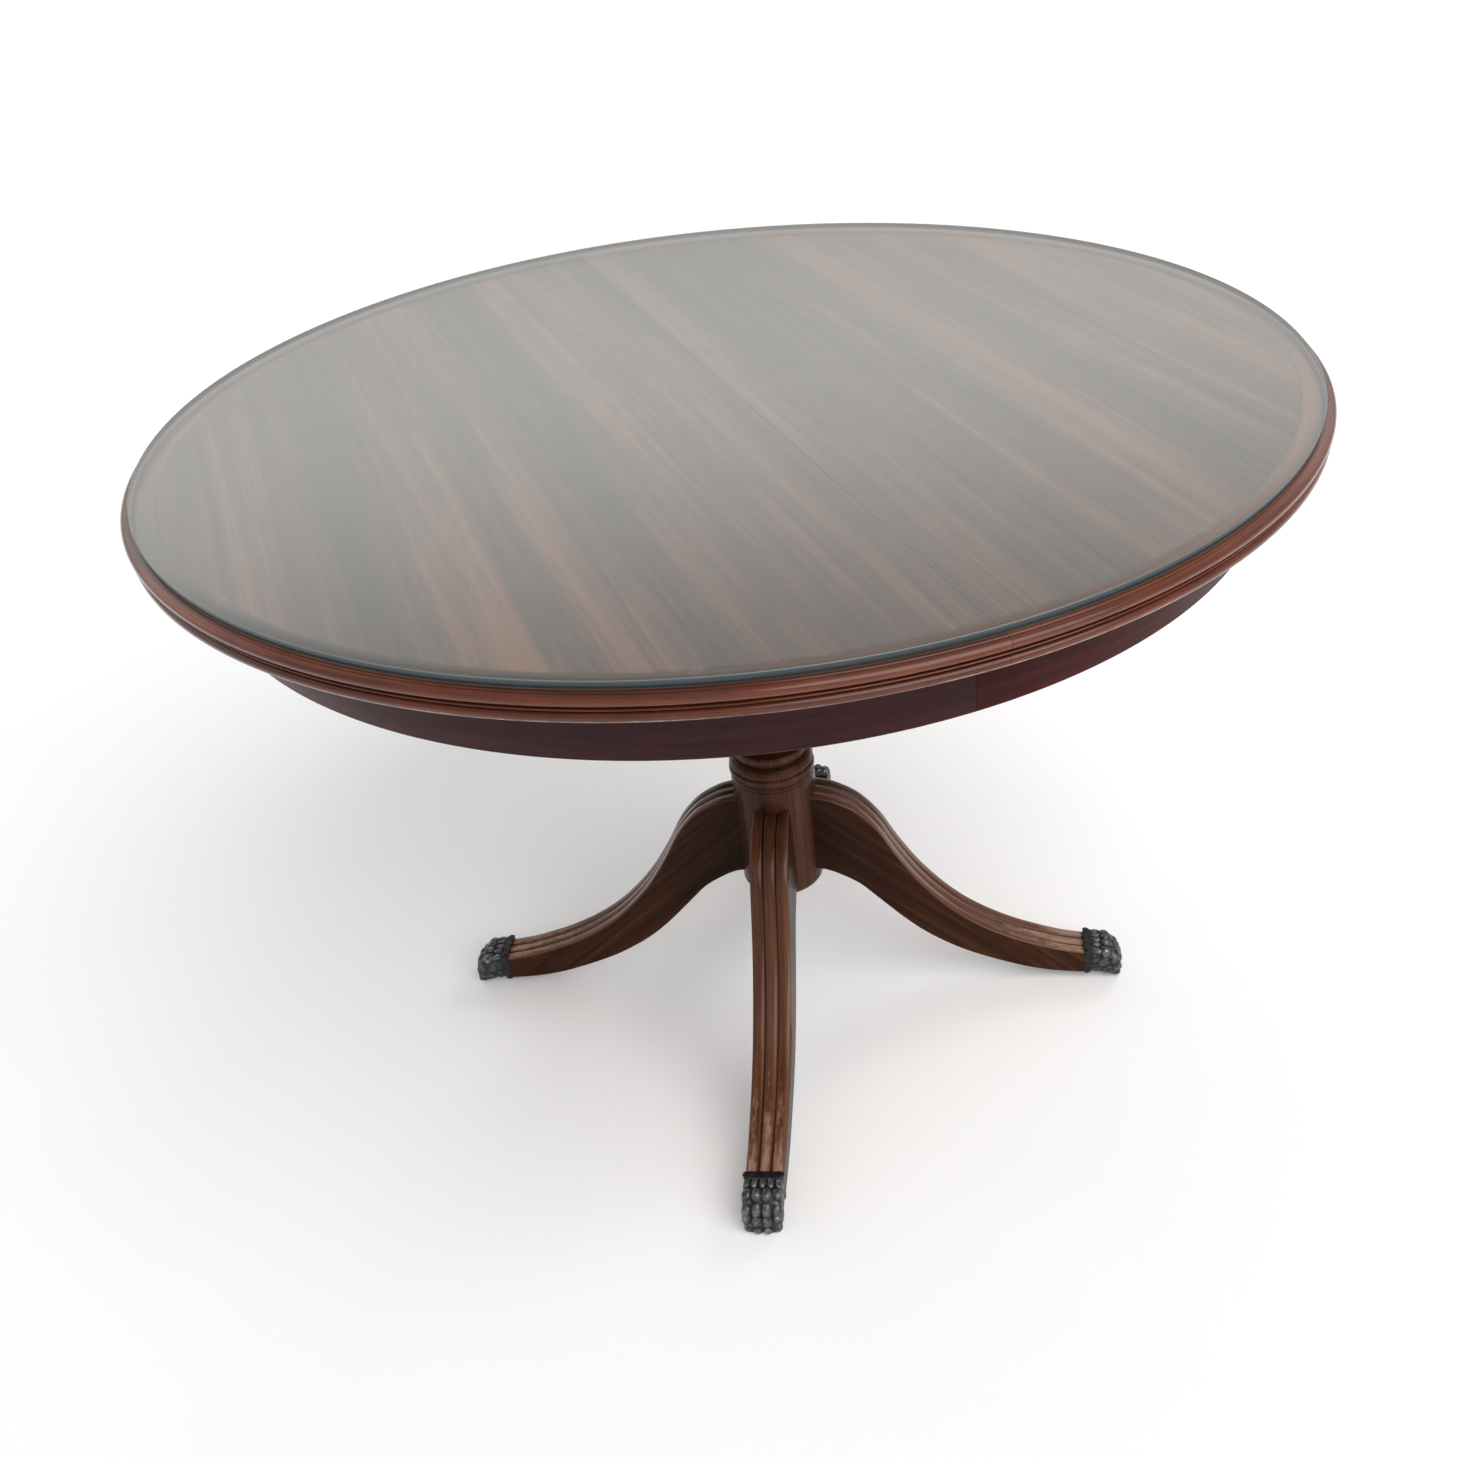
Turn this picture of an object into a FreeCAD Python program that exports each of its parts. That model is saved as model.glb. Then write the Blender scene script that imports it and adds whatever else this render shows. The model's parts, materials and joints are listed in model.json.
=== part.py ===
import FreeCAD, Part
import math
import os

import Sketcher

"""Round extending pedestal table with a loose glass cover.

+Z is up and the origin lies on the floor under the middle of the top.
The two half tops slide apart along +X and -X on grooved rails, kept
equal by a pinion between two racks. The seam between them is the plane X = 0.
"""

# Driving dimensions in millimetres.
DIMENSIONS = {
    # glass cover and its clear bumpers
    "glass_surface": 763.0,
    "glass_thick": 6.0,
    "glass_radius": 551.0,
    "glass_arris": 0.8,
    "bumper_thick": 0.8,
    "bumper_radius": 5.0,
    "bumper_circle": 530.0,
    # half tops
    "top_underside": 731.0,
    "field_radius": 530.0,
    "rim_radius": 560.0,
    "rim_flat_radius": 553.5,
    "rim_groove_radius": 553.8,
    "rim_groove_height": 745.3,
    "rim_glue_gap": 0.15,
    "seam_gap": 0.3,
    "apron_radius": 505.0,
    "apron_thick": 18.0,
    "apron_drop": 64.5,
    # slides
    "slide_travel": 200.0,
    "rail_centre": 110.0,
    "rail_wide": 24.0,
    "rail_tall": 38.0,
    "rail_half_length": 330.0,
    "runner_wide": 23.4,
    "runner_tall": 38.0,
    "runner_front": 450.0,
    "runner_tail": 300.0,
    "runner_gap": 0.6,
    "runner_relief": 2.0,
    "tongue_height": 710.0,
    "tongue_thick": 8.0,
    "tongue_reach": 7.2,
    "tongue_play": 0.4,
    # batten, glue blocks and aligners under each half
    "batten_start": 342.0,
    "batten_wide": 40.0,
    "batten_tall": 22.0,
    "glue_block_long": 40.0,
    "glue_block_wide": 22.0,
    "glue_block_tall": 25.0,
    "glue_block_face": 484.0,
    "pin_radius": 4.0,
    "pin_play": 0.3,
    "pin_reach": 12.0,
    "pin_sunk": 26.0,
    "pin_inner": 210.0,
    "pin_outer": 430.0,
    "fork_place": 330.0,
    "fork_long": 60.0,
    "fork_wide": 26.0,
    "fork_thick": 3.0,
    "fork_reach": 18.0,
    "fork_tongue_wide": 12.0,
    # equaliser gear
    "tooth_module": 3.0,
    "tooth_count": 24.0,
    "pressure_angle": 20.0,
    "tooth_play": 0.12,
    "gear_underside": 714.0,
    "gear_thick": 10.0,
    "gear_bore": 6.05,
    "axle_radius": 6.0,
    "axle_shoulder": 11.0,
    "gear_plate_side": 90.0,
    "gear_plate_thick": 4.0,
    # pedestal
    "block_side": 320.0,
    "block_tall": 30.0,
    "block_surface": 690.0,
    "block_corner": 30.0,
    "column_radius": 47.5,
    "column_underside": 156.0,
    "column_shoulder": 165.0,
    "rod_radius": 5.0,
    "rod_bore": 5.5,
    "nut_across": 17.0,
    "nut_thick": 8.0,
    "washer_radius": 15.0,
    "washer_thick": 2.5,
    "counterbore_radius": 17.0,
    "counterbore_deep": 14.0,
    # legs
    "leg_wide": 43.0,
    "leg_toe_wide": 40.4,
    "leg_turn": -26.83,
    "leg_end": 352.0,
    "leg_joint_gap": 0.3,
    "reed_spacing": 13.6,
    "reed_groove": 2.2,
    "tenon_wide": 24.0,
    "tenon_low": 16.0,
    "tenon_high": 34.0,
    "tenon_long": 12.0,
    "dowel_radius": 6.0,
    "dowel_long": 50.0,
    "dowel_low": 205.0,
    "dowel_high": 250.0,
    # paw caps
    "paw_wide": 43.6,
    "paw_collar_wide": 41.6,
    "paw_tip": 404.0,
    "toe_pitch": 10.6,
    "toe_groove": 2.4,
    # screws
    "screw_radius": 2.5,
    "screw_head": 4.6,
    "screw_head_tall": 3.0,
}

doc = FreeCAD.newDocument("extending_pedestal_table")
sheet = doc.addObject("Spreadsheet::Sheet", "Dimensions")
for row, (name, number) in enumerate(DIMENSIONS.items(), start=1):
    sheet.set("A%d" % row, name)
    sheet.set("B%d" % row, str(number))
    sheet.setAlias("B%d" % row, name)
doc.recompute()


class Size:
    """A length that carries both its number and the sheet expression behind it."""

    def __init__(self, number, text):
        self.number = number
        self.text = text

    def __add__(self, other):
        other = as_size(other)
        return Size(self.number + other.number, "(%s + %s)" % (self.text, other.text))

    def __sub__(self, other):
        other = as_size(other)
        return Size(self.number - other.number, "(%s - %s)" % (self.text, other.text))

    def __mul__(self, factor):
        return Size(self.number * factor, "(%s * %.9g)" % (self.text, factor))

    def __neg__(self):
        return self * -1

    def __float__(self):
        return self.number


def as_size(value):
    if isinstance(value, Size):
        return value
    return Size(float(value), "%.9g" % value)


def cell(name):
    return Size(float(getattr(sheet, name)), "Dimensions.%s" % name)


def bind(item, prop, value):
    """Give a property its number and tie it to the sheet."""
    size = as_size(value)
    setattr(item, prop, size.number)
    item.setExpression(prop, size.text)


def place(item, x=0.0, y=0.0, z=0.0, turn=0.0, axis=(0, 0, 1)):
    """Put an object at x, y, z, turned about an axis through its own origin."""
    spot = FreeCAD.Vector(float(x), float(y), float(z))
    rotation = FreeCAD.Rotation(FreeCAD.Vector(*axis), turn)
    item.Placement = FreeCAD.Placement(spot, rotation)
    return item


# --- Sketch and feature helpers ---------------------------------------------

def new_body(label):
    body = doc.addObject("PartDesign::Body", label)
    body.Label = label
    return body


def origin_plane(body, role):
    for feature in body.Origin.OriginFeatures:
        if feature.Role == role:
            return feature
    raise ValueError(role)


def new_sketch(body, role, height=0.0):
    """A sketch on one of the body's own origin planes, raised along its normal."""
    sketch = body.newObject("Sketcher::SketchObject", body.Label + "_sketch")
    sketch.AttachmentSupport = [(origin_plane(body, role), "")]
    sketch.MapMode = "FlatFace"
    raised = as_size(height)
    sketch.AttachmentOffset = FreeCAD.Placement(FreeCAD.Vector(0, 0, raised.number), FreeCAD.Rotation())
    if raised.number:
        sketch.setExpression("AttachmentOffset.Base.z", raised.text)
    return sketch


def hold_point(sketch, edge, end, point):
    """Fix one end of an edge at its distances from the sketch origin."""
    for kind, value in (("DistanceX", point[0]), ("DistanceY", point[1])):
        size = as_size(value)
        number = sketch.addConstraint(Sketcher.Constraint(kind, -1, 1, edge, end, size.number))
        if isinstance(value, Size):
            sketch.setExpression("Constraints[%d]" % number, size.text)


def outline(sketch, start, *moves):
    """A closed outline. A move is an end point, or a list of points for a curve.

    Two points make an arc through the first; three or more make a smooth curve.
    """
    def spot(point):
        return FreeCAD.Vector(float(point[0]), float(point[1]), 0)

    here = start
    for move in list(moves) + [start]:
        curved = isinstance(move, list)
        there = move[-1] if curved else move
        if (spot(here) - spot(there)).Length < 1e-6:
            continue
        if not curved:
            shape = Part.LineSegment(spot(here), spot(there))
        elif len(move) == 2:
            shape = Part.Arc(spot(here), spot(move[0]), spot(there))
        else:
            shape = Part.BSplineCurve()
            shape.interpolate([spot(point) for point in [here] + move])
        edge = sketch.addGeometry(shape)
        if not curved:
            hold_point(sketch, edge, 1, here)
            hold_point(sketch, edge, 2, there)
        here = there
    return sketch


def circle(sketch, x, y, radius):
    size = as_size(radius)
    edge = sketch.addGeometry(Part.Circle(FreeCAD.Vector(float(x), float(y), 0), FreeCAD.Vector(0, 0, 1), size.number))
    number = sketch.addConstraint(Sketcher.Constraint("Radius", edge, size.number))
    sketch.setExpression("Constraints[%d]" % number, size.text)
    hold_point(sketch, edge, 3, (x, y))
    return sketch


def rectangle(sketch, left, right, low, high):
    return outline(sketch, (left, low), (right, low), (right, high), (left, high))


def pad(body, sketch, length, symmetric=False, reverse=False):
    feature = body.newObject("PartDesign::Pad", body.Label + "_pad")
    feature.Profile = sketch
    bind(feature, "Length", length)
    feature.Midplane = symmetric
    feature.Reversed = reverse
    doc.recompute()
    return feature


def pocket(body, sketch, length, symmetric=False, reverse=False):
    """Cut a sketch out of the body, and make sure that it removed something."""
    before = body.Shape.Volume
    feature = body.newObject("PartDesign::Pocket", body.Label + "_pocket")
    feature.Profile = sketch
    bind(feature, "Length", length)
    feature.Midplane = symmetric
    feature.Reversed = reverse
    doc.recompute()
    if not body.Shape.Volume < before - 1.0:
        raise ValueError("a pocket in %s cuts nothing" % body.Label)
    return feature


def turned(body, sketch, angle=360.0, symmetric=False):
    """Revolve a sketch drawn on the XZ plane about the upright axis."""
    feature = body.newObject("PartDesign::Revolution", body.Label + "_turning")
    feature.Profile = sketch
    feature.ReferenceAxis = (sketch, ["V_Axis"])
    feature.Angle = angle
    feature.Midplane = symmetric
    doc.recompute()
    return feature


def row_of(body, feature, count, spacing, direction):
    """Repeat a feature along an edge of its own sketch, count times in all."""
    pattern = body.newObject("PartDesign::LinearPattern", body.Label + "_row")
    pattern.Originals = [feature]
    pattern.Direction = direction
    pattern.Occurrences = count
    bind(pattern, "Length", as_size(spacing) * (count - 1))
    body.Tip = pattern
    doc.recompute()
    return pattern


def ring_of(body, feature, count):
    """Repeat a feature round the upright axis."""
    pattern = body.newObject("PartDesign::PolarPattern", body.Label + "_ring")
    pattern.Originals = [feature]
    pattern.Axis = (origin_plane(body, "Z_Axis"), [""])
    pattern.Angle = 360.0
    pattern.Occurrences = count
    body.Tip = pattern
    doc.recompute()
    return pattern


def cylinder(label, radius, length):
    item = doc.addObject("Part::Cylinder", label)
    bind(item, "Radius", radius)
    bind(item, "Height", length)
    return item


def group(label, items):
    """Several separate solids kept together in one node."""
    compound = doc.addObject("Part::Compound", label)
    compound.Label = label
    compound.Links = items
    return compound


def screw(label, length):
    """A countersunk wood screw that points up from its head at z = 0."""
    head = doc.addObject("Part::Cone", label + "_head")
    bind(head, "Radius1", cell("screw_head"))
    bind(head, "Radius2", cell("screw_radius"))
    bind(head, "Height", cell("screw_head_tall"))
    shank = cylinder(label + "_shank", cell("screw_radius"), length)
    whole = doc.addObject("Part::Fuse", label)
    whole.Base = head
    whole.Tool = shank
    return whole


# --- Heights shared by several pieces ---------------------------------------

glass_underside = cell("glass_surface") - cell("glass_thick")
wood_surface = glass_underside - cell("bumper_thick")
wood_thick = wood_surface - cell("top_underside")
block_underside = cell("block_surface") - cell("block_tall")
runner_underside = cell("top_underside") - cell("runner_tall")
rail_inner = cell("rail_centre") - cell("rail_wide") * 0.5
rail_outer = cell("rail_centre") + cell("rail_wide") * 0.5
LEG_NAMES = ("right", "back", "left", "front")
HALVES = (("a", 0.0), ("b", 180.0))


def half_shift(turn):
    """Each half top stands back from the seam by half the seam gap."""
    return math.cos(math.radians(turn)) * float(cell("seam_gap")) / 2


def leg_angle(number):
    return float(cell("leg_turn")) + 90.0 * number


# --- Pedestal ----------------------------------------------------------------

def make_column():
    """Turned column: flat foot, plain drum, ringed neck and a vase below the block."""
    body = new_body("column")
    radius = cell("column_radius")
    bore = cell("rod_bore")
    foot = cell("column_underside")
    sketch = new_sketch(body, "XZ_Plane")
    outline(
        sketch,
        (bore, foot),
        (radius - 9, foot),
        [(radius - 2.6, foot + 2.6), (radius, cell("column_shoulder"))],
        (radius, 313),
        [(radius + 1.1, 317.5), (radius, 322)],
        (radius - 1.4, 322),
        [(radius + 0.2, 326), (radius - 6.5, 335)],
        (radius - 8.5, 336),
        [(radius - 4.5, 341.5), (radius - 9.5, 347)],
        [(32, 351), (29, 360), (44, 396), (56, 440), (50, 496), (39, 548), (37, 586)],
        (45, 588),
        [(48.5, 595), (45, 602)],
        (41, 604),
        [(47, 632), (66, 644)],
        (66, block_underside),
        (bore, block_underside),
    )
    turned(body, sketch)
    return body


def make_tie_rod():
    """Threaded rod that draws the column and the block together."""
    foot = cell("column_underside") - 12
    rod = cylinder("tie_rod", cell("rod_radius"), cell("block_surface") - foot - 9)
    return place(rod, z=foot)


def hexagon_nut(label):
    nut = doc.addObject("Part::Prism", label + "_blank")
    nut.Polygon = 6
    bind(nut, "Circumradius", cell("nut_across") * (1 / math.sqrt(3)))
    bind(nut, "Height", cell("nut_thick"))
    hole = cylinder(label + "_hole", cell("rod_radius"), cell("nut_thick"))
    cut = doc.addObject("Part::Cut", label)
    cut.Base = nut
    cut.Tool = hole
    return cut


def washer(label):
    disc = cylinder(label + "_blank", cell("washer_radius"), cell("washer_thick"))
    hole = cylinder(label + "_hole", cell("rod_bore"), cell("washer_thick"))
    cut = doc.addObject("Part::Cut", label)
    cut.Base = disc
    cut.Tool = hole
    return cut


def make_rod_nuts():
    """A washer and nut under the column and in the block's counterbore."""
    foot = cell("column_underside")
    bench = cell("block_surface") - cell("counterbore_deep")
    items = [
        place(washer("foot_washer"), z=foot - cell("washer_thick")),
        place(hexagon_nut("foot_nut"), z=foot - cell("washer_thick") - cell("nut_thick")),
        place(washer("block_washer"), z=bench),
        place(hexagon_nut("block_nut"), z=bench + cell("washer_thick")),
    ]
    return group("tie_rod_nuts", items)


def make_top_block():
    """Square block with cut corners that carries the rails."""
    body = new_body("top_block")
    half = cell("block_side") * 0.5
    near = half - cell("block_corner")
    sketch = new_sketch(body, "XY_Plane", block_underside)
    outline(
        sketch,
        (-near, -half), (near, -half), (half, -near), (half, near),
        (near, half), (-near, half), (-half, near), (-half, -near),
    )
    pad(body, sketch, cell("block_tall"))
    bore = circle(new_sketch(body, "XY_Plane", block_underside), 0, 0, cell("rod_bore"))
    pocket(body, bore, cell("block_tall"), reverse=True)
    bench = cell("block_surface") - cell("counterbore_deep")
    counterbore = circle(new_sketch(body, "XY_Plane", bench), 0, 0, cell("counterbore_radius"))
    pocket(body, counterbore, cell("counterbore_deep"), reverse=True)
    return body


def leg_crest():
    """Points down the top of a leg, from the column to the paw."""
    return [(66, 276), (92, 261), (119, 229), (160, 159), (185, 128), (235, 86), (285, 61), (352, 42)]


def make_leg(label, angle):
    """Swept leg, sawn to an S curve, with three reeds down its top edge."""
    body = new_body(label)
    crest = leg_crest()
    end = cell("leg_end")
    sketch = new_sketch(body, "XZ_Plane")
    outline(
        sketch,
        (40, 178),
        (46, 178),
        [(70, 169), (92, 154), (137, 106), (184, 66), (235, 39), (285, 20), (end, 9)],
        (end, cell("tenon_low")),
        (end + cell("tenon_long"), cell("tenon_low")),
        (end + cell("tenon_long"), cell("tenon_high")),
        (end, cell("tenon_high")),
        (end, crest[-1][1]),
        list(reversed(crest[:-1])) + [(46, 280)],
        (40, 280),
    )
    pad(body, sketch, cell("leg_wide"), symmetric=True)
    seat = circle(new_sketch(body, "XY_Plane"), 0, 0, cell("column_radius") + cell("leg_joint_gap"))
    pocket(body, seat, 300, reverse=True)
    for side in (-1, 1):
        taper = new_sketch(body, "XY_Plane")
        outline(
            taper,
            (200, cell("leg_wide") * (0.5 * side)),
            (end + 14, cell("leg_toe_wide") * (0.5 * side)),
            (end + 14, 30 * side),
            (200, 30 * side),
        )
        pocket(body, taper, 200, reverse=True)
    for side in (-1, 1):
        cheek = new_sketch(body, "XZ_Plane", cell("tenon_wide") * (0.5 * side))
        rectangle(cheek, end, end + cell("tenon_long") + 1, 0, 60)
        pocket(body, cheek, cell("leg_wide"), reverse=(side > 0))
    for side in (-1, 1):
        groove = new_sketch(body, "XZ_Plane", (cell("reed_spacing") - cell("reed_groove")) * (0.5 * side))
        deep = float(cell("reed_groove"))
        lowered = [(x - deep * 0.6, z - deep) for x, z in crest]
        raised = [(x + 6, z + 8) for x, z in crest]
        outline(
            groove,
            (46, 280 - deep),
            lowered[:-1] + [(358, 42 - deep)],
            (364, 50),
            list(reversed(raised)) + [(46, 290)],
        )
        pocket(body, groove, cell("reed_groove"), reverse=(side > 0))
    return place(body, turn=angle)


def make_leg_dowels():
    """Two dowels in each leg, driven into the column."""
    items = []
    for number in range(len(LEG_NAMES)):
        angle = leg_angle(number)
        reach = float(cell("column_radius") - cell("dowel_long") * 0.5)
        for height in ("dowel_low", "dowel_high"):
            dowel = cylinder("dowel_%d_%s" % (number, height), cell("dowel_radius"), cell("dowel_long"))
            aim = FreeCAD.Vector(math.cos(math.radians(angle)), math.sin(math.radians(angle)), 0)
            dowel.Placement = FreeCAD.Placement(
                aim * reach + FreeCAD.Vector(0, 0, float(cell(height))),
                FreeCAD.Rotation(FreeCAD.Vector(0, 0, 1), aim),
            )
            items.append(dowel)
    return group("leg_dowels", items)


def make_paw(label, angle):
    """Cast paw cap: a collar that takes the leg's tenon, a knuckled instep and four toes."""
    body = new_body(label)
    end = cell("leg_end")
    tip = cell("paw_tip")
    back = float(end)
    sketch = new_sketch(body, "XZ_Plane")
    outline(
        sketch,
        (end, 8),
        (end, 45),
        (end + 3, 46),
        [(back + 11, 45), (back + 18, 43), (back + 28, 47.5), (back + 38, 43), (back + 47, 28), (tip, 11)],
        [(back + 51, 3), (back + 47, 0)],
        (end + 30, 0),
        [(back + 24, 6), (back + 16, 5)],
        (end + 4, 4),
    )
    pad(body, sketch, cell("paw_wide"), symmetric=True)
    for side in (-1, 1):
        waist = new_sketch(body, "XY_Plane")
        slim = cell("paw_collar_wide") * (0.5 * side)
        wide = cell("paw_wide") * (0.5 * side)
        outline(
            waist,
            (end - 1, slim),
            (end + 14, slim),
            [(back + 22, float(slim) * 1.01), (back + 30, float(wide))],
            (end + 30, wide + 5 * side),
            (end - 1, wide + 5 * side),
        )
        pocket(body, waist, 60, reverse=True)
    for side in (-1, 1):
        tuck = new_sketch(body, "YZ_Plane", end - 1)
        outline(
            tuck,
            (10 * side, -1),
            (10 * side, 0),
            [(18.4 * side, 3.4), (cell("paw_wide") * (0.5 * side), 13)],
            (25 * side, 13),
            (25 * side, -1),
        )
        pocket(body, tuck, 60, reverse=True)
    for number in (-1, 0, 1):
        groove = new_sketch(body, "XZ_Plane", cell("toe_pitch") * number + cell("toe_groove") * 0.5)
        outline(
            groove,
            (back + 26, 52),
            (back + 24, 43.5),
            [(back + 36, 40.5), (back + 44, 27), (back + 48, 11), (back + 44, -2)],
            (tip + 4, -2),
            (tip + 4, 52),
        )
        pocket(body, groove, cell("toe_groove"))
    socket = new_sketch(body, "YZ_Plane", end)
    half = cell("tenon_wide") * 0.5
    rectangle(socket, -half, half, cell("tenon_low"), cell("tenon_high"))
    pocket(body, socket, cell("tenon_long") + 0.5, reverse=True)
    return place(body, turn=angle)


def make_cap_screws():
    """One screw up through each paw's heel into the leg's tenon."""
    items = []
    for number, name in enumerate(LEG_NAMES):
        angle = math.radians(leg_angle(number))
        radius = float(cell("leg_end")) + 7
        item = screw("cap_screw_" + name, 24.0)
        items.append(place(item, radius * math.cos(angle), radius * math.sin(angle), 4.6))
    return group("cap_screws", items)


# --- Slides fixed to the pedestal ---------------------------------------------

def make_fixed_rail(label, turn):
    """A rail grooved on both sides, standing on the block along X."""
    body = new_body(label)
    low = cell("block_surface")
    high = low + cell("rail_tall")
    groove_low = cell("tongue_height") - cell("tongue_thick") * 0.5 - cell("tongue_play")
    groove_high = cell("tongue_height") + cell("tongue_thick") * 0.5 + cell("tongue_play")
    deep = cell("tongue_reach") + 0.6
    sketch = new_sketch(body, "YZ_Plane")
    outline(
        sketch,
        (rail_inner, low), (rail_outer, low),
        (rail_outer, groove_low), (rail_outer - deep, groove_low),
        (rail_outer - deep, groove_high), (rail_outer, groove_high),
        (rail_outer, high), (rail_inner, high),
        (rail_inner, groove_high), (rail_inner + deep, groove_high),
        (rail_inner + deep, groove_low), (rail_inner, groove_low),
    )
    pad(body, sketch, cell("rail_half_length") * 2, symmetric=True)
    return place(body, turn=turn)


def make_rail_screws():
    """Screws up through the block into the rails."""
    items = []
    for number, (x, y) in enumerate([(x, y) for x in (-125, -45, 45, 125) for y in (-110, 110)]):
        items.append(place(screw("rail_screw_%d" % number, 52.0), x, y, block_underside))
    return group("rail_screws", items)


def make_gear_plate():
    """Steel plate over the counterbore that carries the pinion's axle."""
    body = new_body("gear_plate")
    half = cell("gear_plate_side") * 0.5
    sketch = new_sketch(body, "XY_Plane", cell("block_surface"))
    rectangle(sketch, -half, half, -half, half)
    pad(body, sketch, cell("gear_plate_thick"))
    return body


def make_gear_axle():
    """Shouldered axle standing on the gear plate."""
    body = new_body("gear_axle")
    foot = cell("block_surface") + cell("gear_plate_thick")
    step = cell("gear_underside") - 0.2
    slim = cell("axle_radius")
    sketch = new_sketch(body, "XZ_Plane")
    outline(
        sketch,
        (0, foot), (cell("axle_shoulder"), foot), (cell("axle_shoulder"), step), (slim, step),
        (slim, step + 12.5), (slim - 0.8, step + 13.3), (0, step + 13.3),
    )
    turned(body, sketch)
    return body


def make_axle_clip():
    """Ring that keeps the pinion on its axle."""
    height = cell("gear_underside") + cell("gear_thick") + 0.3
    disc = cylinder("axle_clip_blank", 9.5, 1.2)
    hole = cylinder("axle_clip_hole", cell("axle_radius"), 1.2)
    ring = doc.addObject("Part::Cut", "axle_clip")
    ring.Base = disc
    ring.Tool = hole
    return place(ring, z=height)


def make_gear_plate_screws():
    """Four screws down through the gear plate into the block."""
    items = []
    for number, (x, y) in enumerate([(x, y) for x in (-35, 35) for y in (-35, 35)]):
        item = screw("gear_plate_screw_%d" % number, 22.0)
        height = cell("block_surface") + cell("gear_plate_thick")
        items.append(place(item, x, y, height, turn=180, axis=(1, 0, 0)))
    return group("gear_plate_screws", items)


# --- Equaliser gear -------------------------------------------------------------

def tooth_half_angle(radius, pitch_radius):
    """Half the angle that an involute tooth fills at a radius, less its play."""
    slope = math.radians(float(cell("pressure_angle")))
    base = pitch_radius * math.cos(slope)
    there = math.acos(min(1.0, base / radius))
    spread = (math.tan(slope) - slope) - (math.tan(there) - there)
    at_pitch = math.pi / 2 / float(cell("tooth_count")) - float(cell("tooth_play")) / pitch_radius
    return at_pitch + spread


def make_pinion():
    """Spur pinion with involute teeth between the two racks."""
    body = new_body("pinion")
    module = float(cell("tooth_module"))
    count = int(float(cell("tooth_count")))
    pitch_radius = module * count / 2
    base = pitch_radius * math.cos(math.radians(float(cell("pressure_angle"))))
    tip = pitch_radius + module
    root = pitch_radius - 1.25 * module
    blank = new_sketch(body, "XY_Plane", cell("gear_underside"))
    circle(blank, 0, 0, cell("tooth_module") * (count / 2 + 1))
    circle(blank, 0, 0, cell("gear_bore"))
    pad(body, blank, cell("gear_thick"))

    def flank(radius, side):
        # A gap is centred on +Y, so its flank is where the next tooth begins.
        angle = math.pi / count - tooth_half_angle(max(radius, base + 1e-6), pitch_radius)
        return (side * radius * math.sin(angle), radius * math.cos(angle))

    middle = (base + tip) / 2
    beyond = tip + 0.6
    gap = new_sketch(body, "XY_Plane", cell("gear_underside"))
    outline(
        gap,
        flank(root, -1),
        flank(base, -1),
        [flank(middle, -1), flank(beyond, -1)],
        flank(beyond, 1),
        [flank(middle, 1), flank(base, 1)],
        flank(root, 1),
        [(0, root - 0.05), flank(root, -1)],
    )
    ring_of(body, pocket(body, gap, cell("gear_thick"), reverse=True), count)
    return body


def make_rack(label, turn):
    """Toothed bar on the inner runner, facing the pinion."""
    body = new_body(label)
    module = float(cell("tooth_module"))
    pitch = math.pi * module
    pitch_line = module * float(cell("tooth_count")) / 2
    slope = math.tan(math.radians(float(cell("pressure_angle"))))
    tip = -(pitch_line - module)
    root = -(pitch_line + 1.25 * module)
    runner_face = -(rail_inner - cell("runner_gap") - cell("runner_wide"))
    teeth_behind = 24
    teeth_ahead = 3
    bar = new_sketch(body, "XY_Plane", cell("gear_underside"))
    rectangle(bar, -teeth_behind * pitch, teeth_ahead * pitch, runner_face, tip)
    pad(body, bar, cell("gear_thick"))
    middle = (0.5 - teeth_behind) * pitch
    half = pitch / 4 + float(cell("tooth_play")) / 2
    at_tip = half + module * slope + 0.3 * slope
    at_root = half - 1.25 * module * slope
    gap = new_sketch(body, "XY_Plane", cell("gear_underside"))
    outline(
        gap,
        (middle - at_root, root),
        (middle + at_root, root),
        (middle + at_tip, tip + 0.3),
        (middle - at_tip, tip + 0.3),
    )
    cut = pocket(body, gap, cell("gear_thick"), reverse=True)
    row_of(body, cut, teeth_behind + teeth_ahead, pitch, (gap, ["H_Axis"]))
    return place(body, turn=turn)


def make_rack_screws(label, turn):
    """Screws through the rack into the inner runner."""
    items = []
    height = cell("gear_underside") + cell("gear_thick") * 0.5
    face = rail_inner - cell("runner_gap") - cell("runner_wide")
    for number, x in enumerate((-190, -100, -10)):
        item = screw("%s_%d" % (label, number), 22.0)
        spot = FreeCAD.Vector(x, -float(face) + 8, float(height))
        spin = FreeCAD.Rotation(FreeCAD.Vector(1, 0, 0), 90)
        half_turn = FreeCAD.Placement(FreeCAD.Vector(), FreeCAD.Rotation(FreeCAD.Vector(0, 0, 1), turn))
        item.Placement = half_turn.multiply(FreeCAD.Placement(spot, spin))
        items.append(item)
    return group(label, items)


# --- Half tops --------------------------------------------------------------------

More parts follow.
